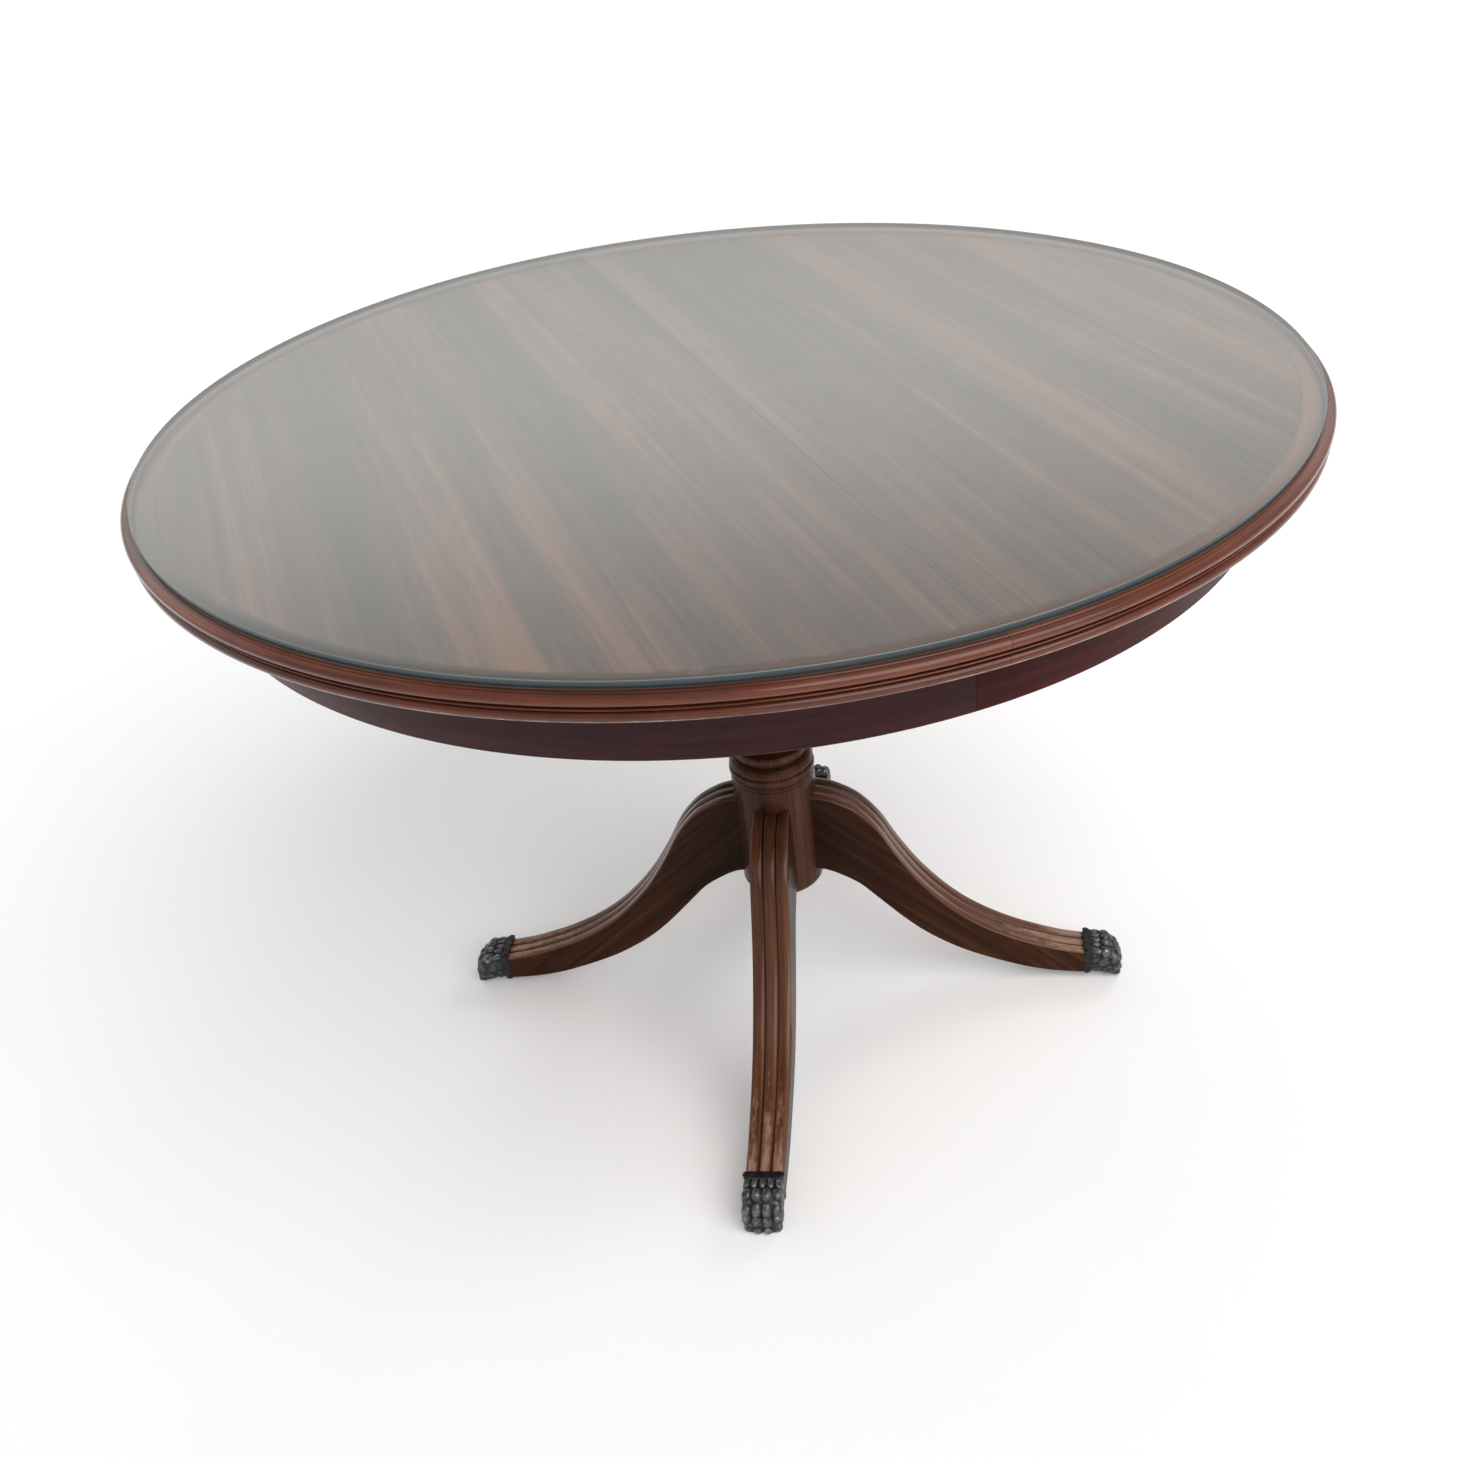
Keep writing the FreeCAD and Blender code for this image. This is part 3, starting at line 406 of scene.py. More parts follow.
def make_leg(name):
    """Swept leg sawn from the plank, three reeds worked down its face."""
    low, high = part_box("paw_" + name)
    spot = (low + high) / 2
    angle = math.atan2(spot.y, spot.x)
    aim = Matrix.Rotation(angle, 4, "Z")
    crest = even(spline(CREST, 8), LEG_STATIONS)
    belly = even(spline(BELLY, 8), LEG_STATIONS)
    section = reed_section()
    bm = bmesh.new()
    rings = []
    for number, (top, bottom) in enumerate(zip(crest, belly)):
        up = (top - bottom).normalized()
        ring = []
        half = LEG_HALF_WIDTH - LEG_TAPER * fraction(top.x, 200, 350)
        for side, sunk in section:
            point = top - up * sunk
            ring.append(Vector((point.x, side * half, point.y)))
        for share in (0.2, 0.45, 0.7, 0.9):
            point = (top - up * 4.0).lerp(bottom, share)
            ring.append(Vector((point.x, half, point.y)))
        for y, lift in ((half, 1.6), (half - 0.5, 0.5), (half - 1.6, 0.0)):
            point = bottom + up * lift
            ring.append(Vector((point.x, y, point.y)))
        for y, lift in ((-half + 1.6, 0.0), (-half + 0.5, 0.5), (-half, 1.6)):
            point = bottom + up * lift
            ring.append(Vector((point.x, y, point.y)))
        for share in (0.9, 0.7, 0.45, 0.2):
            point = (top - up * 4.0).lerp(bottom, share)
            ring.append(Vector((point.x, -half, point.y)))
        if number == 0:
            for point in ring:
                point.x = math.sqrt(DRUM_RADIUS ** 2 - point.y ** 2) - 0.3
        rings.append([bm.verts.new(aim @ (point * MM)) for point in ring])
    count = len(rings[0])
    for ring, following in zip(rings, rings[1:]):
        for index in range(count):
            after = (index + 1) % count
            bm.faces.new((ring[index], following[index], following[after], ring[after]))
    bm.faces.new(rings[0])
    bm.faces.new(list(reversed(rings[-1])))
    back = aim.inverted()
    reeded = set()
    for ring in rings:
        reeded.update(ring[:len(section)])
    # The reeded top face takes a lighter copy of the leg timber (painted light) and the sides a darker one
    # (painted shade).
    for face in bm.faces:
        if all(vertex in reeded for vertex in face.verts):
            face.material_index = 1
    lean = Vector((0.76, 0, -0.65))
    across = Vector((0.65, 0, 0.76))
    offset = LEGS.index(name) * 1.7

    def grain(co):
        flat = back @ co
        return (flat.dot(lean) + offset, flat.dot(across), flat.y + offset)

    def nearest(flat):
        return min(range(LEG_STATIONS), key=lambda k: math.hypot(crest[k].x - flat.x, crest[k].y - flat.z))

    def wear_and_painted_shade(vertex):
        flat = back @ vertex.co / MM
        near = nearest(flat)
        gap = math.hypot(crest[near].x - flat.x, crest[near].y - flat.z)
        scuffed = fraction(flat.x, 150, 340)
        # Painted shade: the leg is darkened towards the column, where the top shades it, and its crest wear
        # fades out there.
        painted_shade_near_column = fraction(flat.x, 175, 55)
        return fraction(gap, 7, 0) * (0.34 + 0.58 * scuffed) * (1 - painted_shade_near_column) - 0.55 * painted_shade_near_column

    piece = finish_mesh("swept_leg_" + name, bm, grain, wear_and_painted_shade, 50)
    step = (crest[1] - crest[0]).length * MM
    along = piece.data.attributes.new("reed_grain", "FLOAT_VECTOR", "POINT")
    for vertex, value in zip(piece.data.vertices, along.data):
        flat = back @ vertex.co
        number = nearest(flat / MM)
        height = (flat / MM - Vector((crest[number].x, flat.y / MM, crest[number].y))).length * MM
        value.vector = (number * step + offset, height, flat.y + offset)
    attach(piece, "pedestal")
    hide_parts("leg_" + name)
    piece.data.materials.append(wood_leg_painted_shade)
    piece.data.materials.append(wood_reeds_painted_light)


# Distance out, half width, low and high of the paw's core, in millimetres from the paw's own start.
PAW_CORE = [(0.0, 20.4, 8.0, 44.6), (6, 20.2, 7.4, 44.4), (12, 19.8, 7.0, 43.4), (18, 19.8, 6.5, 43.0),
            (24, 20.4, 5.0, 43.4), (30, 20.8, 3.0, 43.0), (38, 20.8, 1.6, 38.5), (44, 20.0, 1.2, 29.5),
            (48, 18.0, 2.0, 18)]
PAW_START = 352.0
# The finished casting is drawn in a little, so that its collar starts this far out.
COLLAR_START = 4.5
COLLAR_END = COLLAR_START + 7.5
TUFTS_CLEAR = COLLAR_START + 10.5


def ellipsoid(bm, centre, radii, tilt=0.0, yaw=0.0):
    """A lobe of the casting: an ellipsoid tipped nose down by tilt degrees."""
    form = Matrix.Translation(Vector(centre))
    form = form @ Matrix.Rotation(math.radians(yaw), 4, "Z") @ Matrix.Rotation(math.radians(tilt), 4, "Y")
    form = form @ Matrix.Diagonal(Vector((*radii, 1)))
    bmesh.ops.create_icosphere(bm, subdivisions=3, radius=1.0, matrix=form)


def paw_core(bm):
    """The lofted core of a paw, from its collar to behind the toes."""
    rings = []
    steps = 28
    for out, half, low, high in PAW_CORE:
        ring = []
        middle = (low + high) / 2
        tall = (high - low) / 2
        for step in range(steps):
            angle = 2 * math.pi * step / steps
            c, s = math.cos(angle), math.sin(angle)
            y = half * math.copysign(abs(c) ** 0.42, c)
            z = middle + tall * math.copysign(abs(s) ** 0.42, s)
            ring.append(bm.verts.new((out, y, z)))
        rings.append(ring)
    for ring, following in zip(rings, rings[1:]):
        for index in range(steps):
            after = (index + 1) % steps
            bm.faces.new((ring[index], ring[after], following[after], following[index]))
    bm.faces.new(rings[0])
    bm.faces.new(list(reversed(rings[-1])))


def cast_paw():
    """One paw in millimetres, x out from its start: collar, tufts, knuckles, toes and claws."""
    bm = bmesh.new()
    paw_core(bm)
    for y in (-16.8, -8.4, 0.0, 8.4, 16.8):
        sunk = 1.6 if abs(y) > 16 else 0.0
        ellipsoid(bm, (15.0, y, 42.5 - sunk), (8.6, 3.9, 4.0), 8, y * 0.4)
    for number, y in enumerate((-15.3, -5.2, 5.2, 15.3)):
        outer = number in (0, 3)
        drop = 2.2 if outer else 0.0
        back = 1.8 if outer else 0.0
        lean = 7 * (number - 1.5)
        ellipsoid(bm, (29.5 - back, y, 39.6 - drop), (8.6, 6.4, 6.8), 28, lean)
        ellipsoid(bm, (40.0 - back, y, 28.5 - drop), (10.6, 6.3, 8.2), 58, lean)
        ellipsoid(bm, (43.0 - back * 1.4, y, 17.0), (7.6, 6.5, 12.5), 14, lean)
        ellipsoid(bm, (46.2 - back * 1.7, y * 0.99, 5.8), (5.4, 5.2, 5.8), 0, lean)
    for side in (-1, 1):
        ellipsoid(bm, (15, side * 18.6, 32), (7.6, 2.8, 9.4), 20)
        ellipsoid(bm, (26, side * 18.8, 27), (9.4, 3.0, 10.5), 30)
        ellipsoid(bm, (33, side * 18.4, 15), (10.5, 3.1, 9.0), 20)
        ellipsoid(bm, (17, side * 18.2, 17), (9.0, 2.4, 8.5), 0)
    # Plain collar band, its outer edge cut in shallow scallops.
    for y in (-15, -5, 5, 15):
        ellipsoid(bm, (3.6, y, 44.0), (6.4, 7.6, 1.9))
    for side in (-1, 1):
        for number in range(4):
            ellipsoid(bm, (3.6, side * 19.6, 38.5 - 8.2 * number), (6.4, 1.5, 7.0))
    mesh = bpy.data.meshes.new("paw_lump")
    bm.to_mesh(mesh)
    bm.free()
    lump = bpy.data.objects.new("paw_lump", mesh)
    bpy.context.scene.collection.objects.link(lump)
    remesh = lump.modifiers.new("cast", "REMESH")
    remesh.mode = "VOXEL"
    remesh.voxel_size = 0.75
    smooth = lump.modifiers.new("soften", "SMOOTH")
    smooth.factor = 0.5
    smooth.iterations = 7
    shown = lump.evaluated_get(bpy.context.evaluated_depsgraph_get())
    cast = bpy.data.meshes.new_from_object(shown)
    bpy.data.objects.remove(lump)
    for vertex in cast.vertices:
        co = vertex.co
        co.x = max(0.0, co.x)
        edge = max(0.0, (abs(co.y) - 10) / 11.8)
        tucked = 13 * (1 - math.sqrt(max(0.0, 1 - edge * edge)))
        co.z = max(co.z, tucked, 5.0 * fraction(co.x, 32, 20))
        co.x = COLLAR_START + co.x * (1 - COLLAR_START / 52)
    return cast


def curvature(mesh):
    """How far each vertex stands out from its neighbours, scaled to about -1 to 1."""
    total = [Vector() for _ in mesh.vertices]
    count = [0] * len(mesh.vertices)
    for edge in mesh.edges:
        a, b = edge.vertices
        total[a] += mesh.vertices[b].co
        total[b] += mesh.vertices[a].co
        count[a] += 1
        count[b] += 1
    raised = []
    for vertex, around, number in zip(mesh.vertices, total, count):
        raised.append((vertex.co - around / max(1, number)).dot(vertex.normal))
    neighbours = [0.0] * len(raised)
    for edge in mesh.edges:
        a, b = edge.vertices
        neighbours[a] += raised[b]
        neighbours[b] += raised[a]
    return [
        max(-1.0, min(1.0, 14 * (own + other / max(1, number)) / 2))
        for own, other, number in zip(raised, neighbours, count)
    ]


def make_paws():
    """The four paw caps: one casting, set at each leg's end."""
    cast = cast_paw()
    proud = curvature(cast)
    for vertex in cast.vertices:
        share = fraction(vertex.co.x, COLLAR_END, TUFTS_CLEAR)
        proud[vertex.index] = proud[vertex.index] * share - 0.28 * (1 - share)
    for name in LEGS:
        low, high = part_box("paw_" + name)
        spot = (low + high) / 2
        angle = math.atan2(spot.y, spot.x)
        mesh = cast.copy()
        mesh.name = "cast_paw_" + name
        place = Matrix.Rotation(angle, 4, "Z") @ Matrix.Translation(Vector((PAW_START * MM, 0, 0)))
        mesh.transform(place @ Matrix.Scale(MM, 4))
        mesh.shade_smooth()
        wear_and_shade = mesh.attributes.new("wear_and_painted_shade", "FLOAT", "POINT")
        wear_and_shade.data.foreach_set("value", proud)
        piece = bpy.data.objects.new("cast_paw_" + name, mesh)
        bpy.context.scene.collection.objects.link(piece)
        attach(piece, "pedestal")
        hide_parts("paw_" + name)
        piece.data.materials.append(brass_dark)
    bpy.data.meshes.remove(cast)


# --- Materials ----------------------------------------------------------------

class Recipe:
    """A material's node tree, with a short way to add nodes."""

    def __init__(self, name):
        self.material = bpy.data.materials.new(name)
        self.material.use_nodes = True
        self.tree = self.material.node_tree
        self.tree.nodes.clear()
        self.output = self.tree.nodes.new("ShaderNodeOutputMaterial")

    def node(self, kind, inputs=None, **settings):
        made = self.tree.nodes.new(kind)
        for key, value in settings.items():
            setattr(made, key, value)
        for key, value in (inputs or {}).items():
            if isinstance(value, bpy.types.NodeSocket):
                self.tree.links.new(value, made.inputs[key])
            else:
                made.inputs[key].default_value = value
        return made

    def noise(self, vector, scale, detail=3.0, rough=0.55):
        inputs = {"Vector": vector, "Scale": scale, "Detail": detail, "Roughness": rough}
        return self.node("ShaderNodeTexNoise", inputs).outputs["Fac"]

    def stretch(self, vector, scale):
        return self.node("ShaderNodeMapping", {"Vector": vector, "Scale": scale}).outputs["Vector"]

    def ramp(self, value, *stops):
        made = self.node("ShaderNodeValToRGB", {"Fac": value})
        band = made.color_ramp
        while len(band.elements) < len(stops):
            band.elements.new(0.5)
        for element, (place, colour) in zip(band.elements, stops):
            element.position = place
            element.color = colour if len(colour) == 4 else (*colour, 1)
        return made.outputs["Color"]

    def maths(self, operation, first, second=0.5, clamp=False):
        made = self.node("ShaderNodeMath", {0: first, 1: second}, operation=operation, use_clamp=clamp)
        return made.outputs[0]

    def vectors(self, operation, first, second):
        return self.node("ShaderNodeVectorMath", {0: first, 1: second}, operation=operation).outputs[0]

    def spread(self, value, low, high, to_low=0.0, to_high=1.0):
        """Map a value's range onto another, held at both ends."""
        inputs = {"Value": value, "From Min": low, "From Max": high, "To Min": to_low, "To Max": to_high}
        return self.node("ShaderNodeMapRange", inputs).outputs[0]

    def mix(self, share, first, second):
        made = self.node("ShaderNodeMix", None, data_type="RGBA")
        for index, value in ((0, share), (6, first), (7, second)):
            if isinstance(value, bpy.types.NodeSocket):
                self.tree.links.new(value, made.inputs[index])
            elif index:
                made.inputs[index].default_value = value if len(value) == 4 else (*value, 1)
            else:
                made.inputs[index].default_value = value
        return made.outputs[2]

    def attribute(self, name, output):
        return self.node("ShaderNodeAttribute", None, attribute_name=name).outputs[output]

    def bump(self, height, strength, distance):
        inputs = {"Height": height, "Strength": strength, "Distance": distance}
        return self.node("ShaderNodeBump", inputs).outputs["Normal"]

    def finish(self, shader):
        self.tree.links.new(shader, self.output.inputs["Surface"])
        return self.material


WHITE = (1.0, 1.0, 1.0)


def wood(name, dark, middle, light, worn, rough=0.3, coat=0.35, banding=0.5, wear_amount=1.0,
         axes=None, pores=0.5, shine=0.4, grain="grain", bumps=0.28):
    """Timber with long streaks, fine fibres, open pores, broad bands and worn arrises, and painted shade
    where the vertex value is below zero.
    """
    made = Recipe(name)
    if axes:
        source = made.node("ShaderNodeTexCoord").outputs["Object"]
        source = made.node("ShaderNodeMapping", {"Vector": source, "Rotation": axes}).outputs["Vector"]
    else:
        source = made.attribute(grain, "Vector")
    slow = made.stretch(source, (1.2, 6, 6))
    wander = made.node("ShaderNodeTexNoise", {"Vector": slow, "Scale": 1.0, "Detail": 1.0}).outputs["Color"]
    sway = made.vectors("SUBTRACT", wander, (0.5, 0.5, 0.5))
    source = made.vectors("ADD", source, made.vectors("MULTIPLY", sway, (0.0, 0.012, 0.012)))
    bands = made.noise(made.stretch(source, (0.7, 14, 14)), 1.0, 2.0)
    streaks = made.noise(made.stretch(source, (2.2, 90, 90)), 1.0, 4.0, 0.62)
    fibres = made.noise(made.stretch(source, (11, 620, 620)), 1.0, 3.0, 0.6)
    ribbon = made.noise(made.stretch(source, (26, 30, 30)), 1.0, 2.0, 0.5)
    tone = None
    weights = ((streaks, 0.56), (fibres, 0.2), (bands, 0.68 * banding), (ribbon, 0.10))
    for part, weight in weights:
        part = made.maths("MULTIPLY", part, weight)
        tone = made.maths("ADD", tone, part) if tone else part
    centre = 0.5 * sum(weight for part, weight in weights)
    colour = made.ramp(tone, (centre - 0.16, dark), (centre, middle), (centre + 0.17, light))
    holes = made.noise(made.stretch(source, (34, 1150, 1150)), 1.0, 1.5, 0.5)
    holes = made.spread(holes, 0.62, 0.70)
    colour = made.mix(made.maths("MULTIPLY", holes, pores), colour, tuple(c * 0.42 for c in dark))
    wear_and_shade = made.attribute("wear_and_painted_shade", "Fac")
    # Painted shade: a vertex value below zero darkens the colour towards a deeper copy of the dark tone.
    colour = made.mix(made.maths("MULTIPLY", wear_and_shade, -1.0, True), colour, tuple(c * 0.6 for c in dark))
    patchy = made.noise(made.stretch(source, (16, 105, 105)), 1.0, 4.0, 0.65)
    chips = made.noise(made.stretch(source, (90, 300, 300)), 1.0, 3.0, 0.6)
    broken = made.maths("ADD", made.maths("MULTIPLY", patchy, 0.8), made.maths("MULTIPLY", chips, 0.45))
    edge = made.maths("ADD", made.maths("SUBTRACT", wear_and_shade, 1.0), broken)
    edge = made.spread(edge, 0.34, 0.56)
    edge = made.maths("MULTIPLY", edge, wear_amount)
    bare = made.ramp(tone, (centre - 0.09, tuple(c * 0.56 for c in worn)), (centre + 0.09, worn))
    colour = made.mix(edge, colour, bare)
    gloss = made.noise(source, 16.0, 3.0)
    gloss = made.spread(gloss, 0.0, 1.0, rough - 0.05, rough + 0.07)
    gloss = made.maths("ADD", gloss, made.maths("MULTIPLY", edge, 0.2))
    relief = made.maths("ADD", made.maths("MULTIPLY", fibres, 0.5), made.maths("MULTIPLY", holes, -0.8))
    relief = made.maths("SUBTRACT", relief, made.maths("MULTIPLY", edge, 0.6))
    normal = made.bump(relief, bumps, 0.00025)
    shader = made.node("ShaderNodeBsdfPrincipled", {
        "Base Color": colour, "Roughness": gloss, "Normal": normal,
        "Coat Weight": coat, "Coat Roughness": 0.14, "IOR": 1.5, "Specular IOR Level": shine,
    })
    return made.finish(shader.outputs[0])


def patinated_brass():
    """Old cast brass: near black in the hollows, pale and smooth where hands and feet rub it."""
    made = Recipe("patinated_brass")
    place = made.node("ShaderNodeTexCoord").outputs["Object"]
    proud = made.attribute("wear_and_painted_shade", "Fac")
    mottle = made.noise(place, 160.0, 5.0, 0.6)
    grit = made.noise(place, 900.0, 3.0, 0.6)
    level = made.maths("ADD", made.maths("MULTIPLY", proud, 0.36), made.maths("MULTIPLY", mottle, 0.76))
    colour = made.ramp(
        level, (0.12, (0.006, 0.006, 0.0065)), (0.36, (0.026, 0.026, 0.027)),
        (0.56, (0.12, 0.122, 0.125)), (0.78, (0.52, 0.52, 0.52)),
    )
    green = made.noise(place, 70.0, 3.0)
    colour = made.mix(made.spread(green, 0.58, 0.75, 0.0, 0.3), colour, (0.06, 0.09, 0.075))
    gloss = made.spread(level, 0.2, 0.8, 0.56, 0.30)
    normal = made.bump(made.maths("ADD", mottle, made.maths("MULTIPLY", grit, 0.35)), 0.35, 0.0005)
    shader = made.node("ShaderNodeBsdfPrincipled", {
        "Base Color": colour, "Roughness": gloss, "Metallic": 0.8, "Normal": normal,
        "Coat Weight": 0.25, "Coat Roughness": 0.25,
    })
    return made.finish(shader.outputs[0])


def plated_steel():
    """Zinc plated steel with a faint mottled spangle and brushed lines."""
    made = Recipe("plated_steel")
    place = made.node("ShaderNodeTexCoord").outputs["Object"]
    spangle = made.node("ShaderNodeTexVoronoi", {"Vector": place, "Scale": 240.0}).outputs["Distance"]
    lines = made.noise(made.stretch(place, (40, 900, 40)), 1.0, 3.0)
    colour = made.ramp(spangle, (0.0, (0.33, 0.33, 0.34)), (0.8, (0.52, 0.52, 0.54)))
    gloss = made.spread(lines, 0.0, 1.0, 0.26, 0.46)
    shader = made.node("ShaderNodeBsdfPrincipled", {
        "Base Color": colour, "Roughness": gloss, "Metallic": 1.0, "Normal": made.bump(lines, 0.12, 0.0002),
    })
    return made.finish(shader.outputs[0])


def clear_glass():
    """Float glass: passes light straight through and mirrors by its angle, with a faint haze of wiping."""
    made = Recipe("float_glass")
    place = made.node("ShaderNodeTexCoord").outputs["Object"]
    haze = made.noise(place, 7.0, 4.0, 0.6)
    gloss = made.spread(haze, 0.0, 1.0, 0.03, 0.10)
    through = made.node("ShaderNodeBsdfTransparent", {"Color": (0.93, 0.965, 0.95, 1)})
    mirror = made.node("ShaderNodeBsdfGlossy", {"Color": (1, 0.98, 0.94, 1), "Roughness": gloss})
    share = made.node("ShaderNodeFresnel", {"IOR": 1.5}).outputs[0]
    inside = made.node("ShaderNodeNewGeometry").outputs["Backfacing"]
    outside = made.maths("SUBTRACT", 1.0, inside)
    share = made.maths("MULTIPLY", made.maths("MULTIPLY", share, 1.55), outside, True)
    mixed = made.node("ShaderNodeMixShader", {0: share, 1: through.outputs[0], 2: mirror.outputs[0]})
    return made.finish(mixed.outputs[0])


def ground_glass_edge():
    """The glass seen edge on: dark slate, softly ground, with a painted highlight along its top arris."""
    made = Recipe("glass_edge")
    place = made.node("ShaderNodeTexCoord").outputs["Object"]
    height = made.node("ShaderNodeSeparateXYZ", {"Vector": place}).outputs["Z"]
    level = made.spread(height, GLASS_LOW, GLASS_HIGH)
    # Painted highlight: the colour turns pale over the top tenth of the edge; it is also a little paler at
    # the bottom.
    colour = made.ramp(
        level, (0.0, (0.050, 0.060, 0.062)), (0.2, (0.014, 0.020, 0.022)), (0.6, (0.020, 0.030, 0.033)),
        (0.9, (0.045, 0.060, 0.064)), (1.0, (0.20, 0.24, 0.25)),
    )
    grit = made.noise(place, 700.0, 3.0)
    tint = made.mix(made.maths("MULTIPLY", grit, 0.12), colour, (0.20, 0.25, 0.26))
    shader = made.node("ShaderNodeBsdfPrincipled", {
        "Base Color": tint, "Roughness": 0.22, "IOR": 1.5, "Normal": made.bump(grit, 0.15, 0.0001),
    })
    return made.finish(shader.outputs[0])


def clear_bumper():
    """Clear soft plastic, slightly clouded."""
    made = Recipe("clear_bumper")
    place = made.node("ShaderNodeTexCoord").outputs["Object"]
    cloud = made.noise(place, 300.0, 2.0)
    colour = made.ramp(cloud, (0.3, (0.62, 0.64, 0.62)), (0.7, (0.80, 0.82, 0.80)))
    shader = made.node("ShaderNodeBsdfPrincipled", {"Base Color": colour, "Roughness": 0.3, "Alpha": 0.05})
    return made.finish(shader.outputs[0])


wood_rim = wood("mahogany_moulding", (0.042, 0.0085, 0.0038), (0.130, 0.030, 0.0115), (0.27, 0.080, 0.033),
                (0.62, 0.36, 0.26), rough=0.18, coat=0.40, wear_amount=1.0, shine=0.25)
wood_dark = wood("mahogany_apron", (0.015, 0.0022, 0.0026), (0.034, 0.0055, 0.0060), (0.066, 0.013, 0.0125),
                 (0.15, 0.065, 0.040), rough=0.32, coat=0.05, wear_amount=0.7, shine=0.15)
wood_dark_red = wood("mahogany_apron_red", (0.016, 0.0018, 0.0018), (0.042, 0.0048, 0.0042),
                     (0.080, 0.0125, 0.0105), (0.15, 0.065, 0.040),
                     rough=0.32, coat=0.03, wear_amount=0.7, shine=0.10)
wood_top = wood("mahogany_veneer", (0.030, 0.0085, 0.0048), (0.105, 0.034, 0.018), (0.25, 0.088, 0.046),
                (0.3, 0.15, 0.1), rough=0.32, banding=1.1, pores=0.15, bumps=0.08)
wood_base = wood("mahogany_turned", (0.024, 0.0072, 0.0034), (0.060, 0.0195, 0.0086), (0.125, 0.047, 0.022),
                 (0.34, 0.185, 0.12), rough=0.24, coat=0.10, shine=0.10)
# Two copies of the leg timber: a darker one for the sides as painted shade, a lighter one for the reeded top
# face as painted light.
wood_leg_painted_shade = wood("mahogany_leg_painted_shade", (0.016, 0.0054, 0.0024), (0.046, 0.0158, 0.0068), (0.096, 0.037, 0.017),
                (0.36, 0.20, 0.13), rough=0.30, coat=0.03, wear_amount=0.9, shine=0.06)
wood_reeds_painted_light = wood("mahogany_reeds_painted_light", (0.036, 0.0112, 0.0050), (0.110, 0.039, 0.0170), (0.225, 0.090, 0.044),
                 (0.42, 0.25, 0.165), rough=0.24, coat=0.25, wear_amount=0.9, shine=0.16, grain="reed_grain")
beech = wood("planed_beech", (0.36, 0.22, 0.12), (0.52, 0.35, 0.21), (0.62, 0.45, 0.29), (0.7, 0.55, 0.4),
             rough=0.5, coat=0.0, banding=0.4, axes=(0, 0, 0))
brass_dark = patinated_brass()
steel = plated_steel()
glass_clear = clear_glass()
glass_edge = ground_glass_edge()
bumper_clear = clear_bumper()

SLOT_MATERIALS = {"beech": beech, "steel": steel, "aged_brass": brass_dark, "mahogany": wood_base,
                  "mahogany_rim": wood_rim, "mahogany_top": wood_top, "mahogany_dark": wood_dark,
                  "glass": glass_clear, "clear_bumper": bumper_clear}


def dress_frame():
    """Give every CAD node that stays in view its own material."""
    for entry in frame["record"]["subparts"]:
        node = frame["nodes"][entry["node"]]
        node.data.materials.clear()
        node.data.materials.append(SLOT_MATERIALS[entry["material_slot"]])


# --- Camera, floor and light ------------------------------------------------------

# Where the camera stands before it is swung round the table, and how it is turned, in radians.
CAMERA_SPOT = (0, -1.3952, 1.2641)
CAMERA_ANGLES = (0.0458, 0.6013, -0.0871)
CAMERA_SWING = -17.8
CAMERA_LENS = 36.73
CAMERA_SHIFT = (-0.0685, 0.0239)


def make_camera():
    """The eye stands close in front of the table, a little above a seated person's head."""
    yaw, pitch, roll = CAMERA_ANGLES
    turned = Matrix.Rotation(math.radians(CAMERA_SWING), 3, "Z")
    ahead = Vector((math.sin(yaw) * math.cos(pitch), math.cos(yaw) * math.cos(pitch), -math.sin(pitch)))
    level = Vector((math.cos(yaw), -math.sin(yaw), 0))
    up = level.cross(ahead)
    right = math.cos(roll) * level + math.sin(roll) * up
    top = -math.sin(roll) * level + math.cos(roll) * up
    columns = [turned @ right, turned @ top, -(turned @ ahead)]
    data = bpy.data.cameras.new("camera")
    data.sensor_width = 36.0
    data.lens = CAMERA_LENS
    data.shift_x, data.shift_y = CAMERA_SHIFT
    camera = bpy.data.objects.new("camera", data)
    bpy.context.scene.collection.objects.link(camera)
    spot = turned @ Vector(CAMERA_SPOT)
    camera.matrix_world = Matrix.Translation(spot) @ Matrix(columns).transposed().to_4x4()
    bpy.context.scene.camera = camera


def area_light(name, spot, target, size, power, colour):
    """A soft box aimed at a target. It stays out of mirror reflections, so no square shows in the glass."""
    data = bpy.data.lights.new(name, "AREA")
    data.shape = "RECTANGLE"
    data.size, data.size_y = size
    data.energy = power
    data.color = colour
    lamp = bpy.data.objects.new(name, data)
    bpy.context.scene.collection.objects.link(lamp)
    lamp.visible_glossy = False
    lamp.location = spot
    lamp.rotation_mode = "QUATERNION"
    lamp.rotation_quaternion = (Vector(target) - Vector(spot)).to_track_quat("-Z", "Y")


SURROUNDINGS = (0.97, 0.98, 1.0, 1)
EVEN_STRENGTH = 0.55
GLOW_STRENGTH = 1.3
# The glow stands behind the table, in a low band: axis, start, end, value before and value after.
GLOW_BAND = (("Y", 0.1, 0.9, 0.0, 1.0), ("Z", 0.12, 0.66, 1.0, 0.0), ("Z", 0.18, 0.44, 0.0, 1.0))
FLOOR_RADIUS = 30
SKY_STRENGTH = 1.9
SKY_SPREAD = 55
SKY_DIRECTION = (-0.35, 0.9, -1.0)


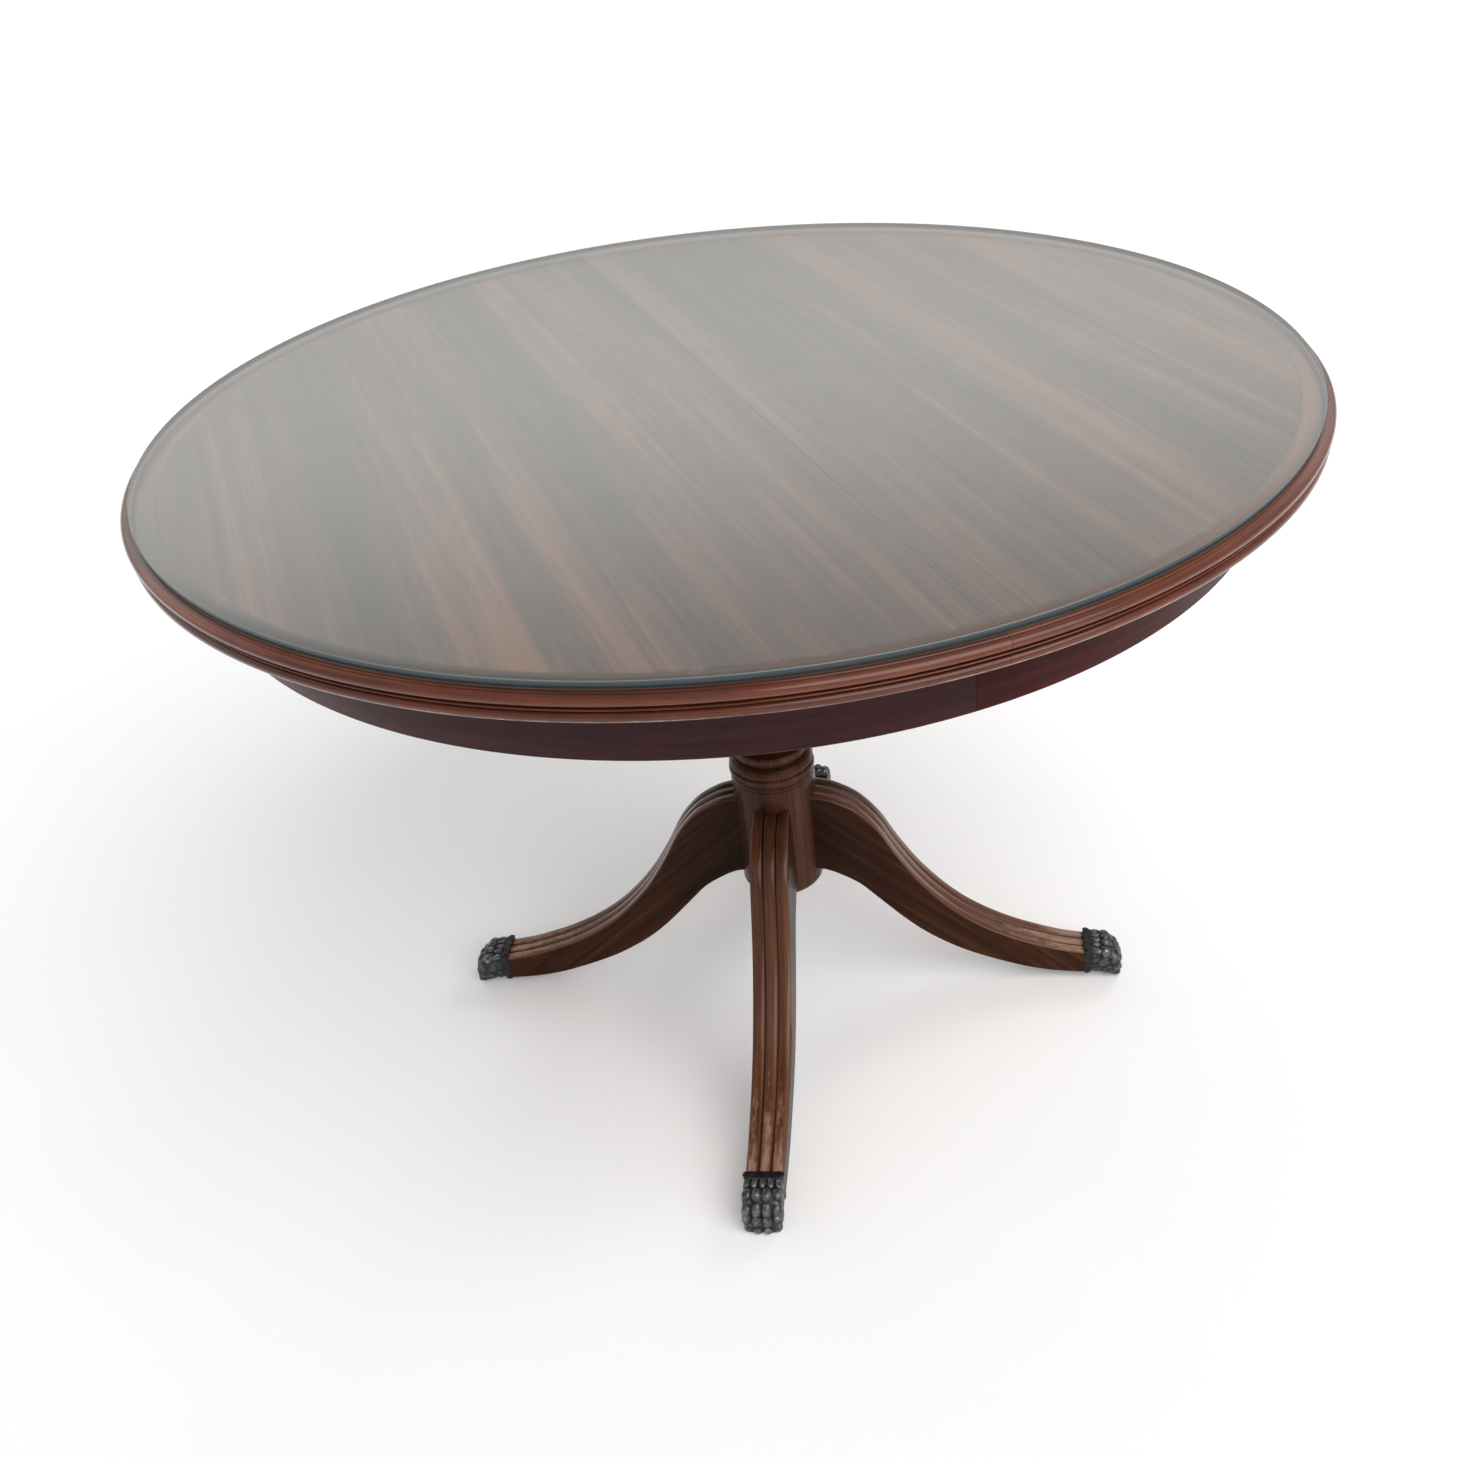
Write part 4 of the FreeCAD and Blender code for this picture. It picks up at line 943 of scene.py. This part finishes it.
def make_studio():
    """Pale floor, even pale surroundings and large soft lights."""
    bpy.context.scene.view_settings.view_transform = "Standard"
    world = bpy.data.worlds.new("studio")
    bpy.context.scene.world = world
    world.use_nodes = True
    tree = world.node_tree
    background = tree.nodes["Background"]
    background.inputs["Color"].default_value = SURROUNDINGS
    toward = tree.nodes.new("ShaderNodeTexCoord").outputs["Generated"]
    parts = tree.nodes.new("ShaderNodeSeparateXYZ")
    tree.links.new(toward, parts.inputs[0])
    glow = None
    for axis, near, far, low, high in GLOW_BAND:
        ranged = tree.nodes.new("ShaderNodeMapRange")
        ranged.interpolation_type = "SMOOTHSTEP"
        for key, value in (("From Min", near), ("From Max", far), ("To Min", low), ("To Max", high)):
            ranged.inputs[key].default_value = value
        tree.links.new(parts.outputs[axis], ranged.inputs["Value"])
        if glow:
            both = tree.nodes.new("ShaderNodeMath")
            both.operation = "MULTIPLY"
            tree.links.new(glow, both.inputs[0])
            tree.links.new(ranged.outputs[0], both.inputs[1])
            glow = both.outputs[0]
        else:
            glow = ranged.outputs[0]
    strength = tree.nodes.new("ShaderNodeMath")
    strength.operation = "MULTIPLY_ADD"
    tree.links.new(glow, strength.inputs[0])
    strength.inputs[1].default_value = GLOW_STRENGTH
    strength.inputs[2].default_value = EVEN_STRENGTH
    tree.links.new(strength.outputs[0], background.inputs["Strength"])
    bm = bmesh.new()
    bmesh.ops.create_circle(bm, cap_ends=True, segments=96, radius=FLOOR_RADIUS)
    mesh = bpy.data.meshes.new("floor")
    bm.to_mesh(mesh)
    bm.free()
    floor = bpy.data.objects.new("floor", mesh)
    bpy.context.scene.collection.objects.link(floor)
    made = Recipe("pale_floor")
    place = made.node("ShaderNodeTexCoord").outputs["Object"]
    colour = made.ramp(made.noise(place, 2.0, 3.0), (0.3, (0.93, 0.93, 0.93)), (0.7, (0.95, 0.95, 0.95)))
    shader = made.node("ShaderNodeBsdfPrincipled", {
        "Base Color": colour, "Roughness": 0.8, "Emission Color": (1, 1, 1, 1), "Emission Strength": 0.1,
    })
    mesh.materials.append(made.finish(shader.outputs[0]))
    sun = bpy.data.lights.new("sky", "SUN")
    sun.energy = SKY_STRENGTH
    sun.angle = math.radians(SKY_SPREAD)
    sun.color = (1.0, 0.985, 0.96)
    sky = bpy.data.objects.new("sky", sun)
    bpy.context.scene.collection.objects.link(sky)
    sky.rotation_mode = "QUATERNION"
    sky.rotation_quaternion = Vector(SKY_DIRECTION).to_track_quat("-Z", "Y")
    area_light("right", (2.6, 1.2, 2.0), (0.4, 0, 0.7), (1.0, 1.0), 14, (1.0, 0.99, 0.97))


make_camera()
make_studio()
dress_frame()
for half_name in HALVES:
    make_field(half_name)
    make_rim(half_name)
    make_apron(half_name)
make_glass()
make_bumpers()
make_column()
for leg_name in LEGS:
    make_leg(leg_name)
make_paws()
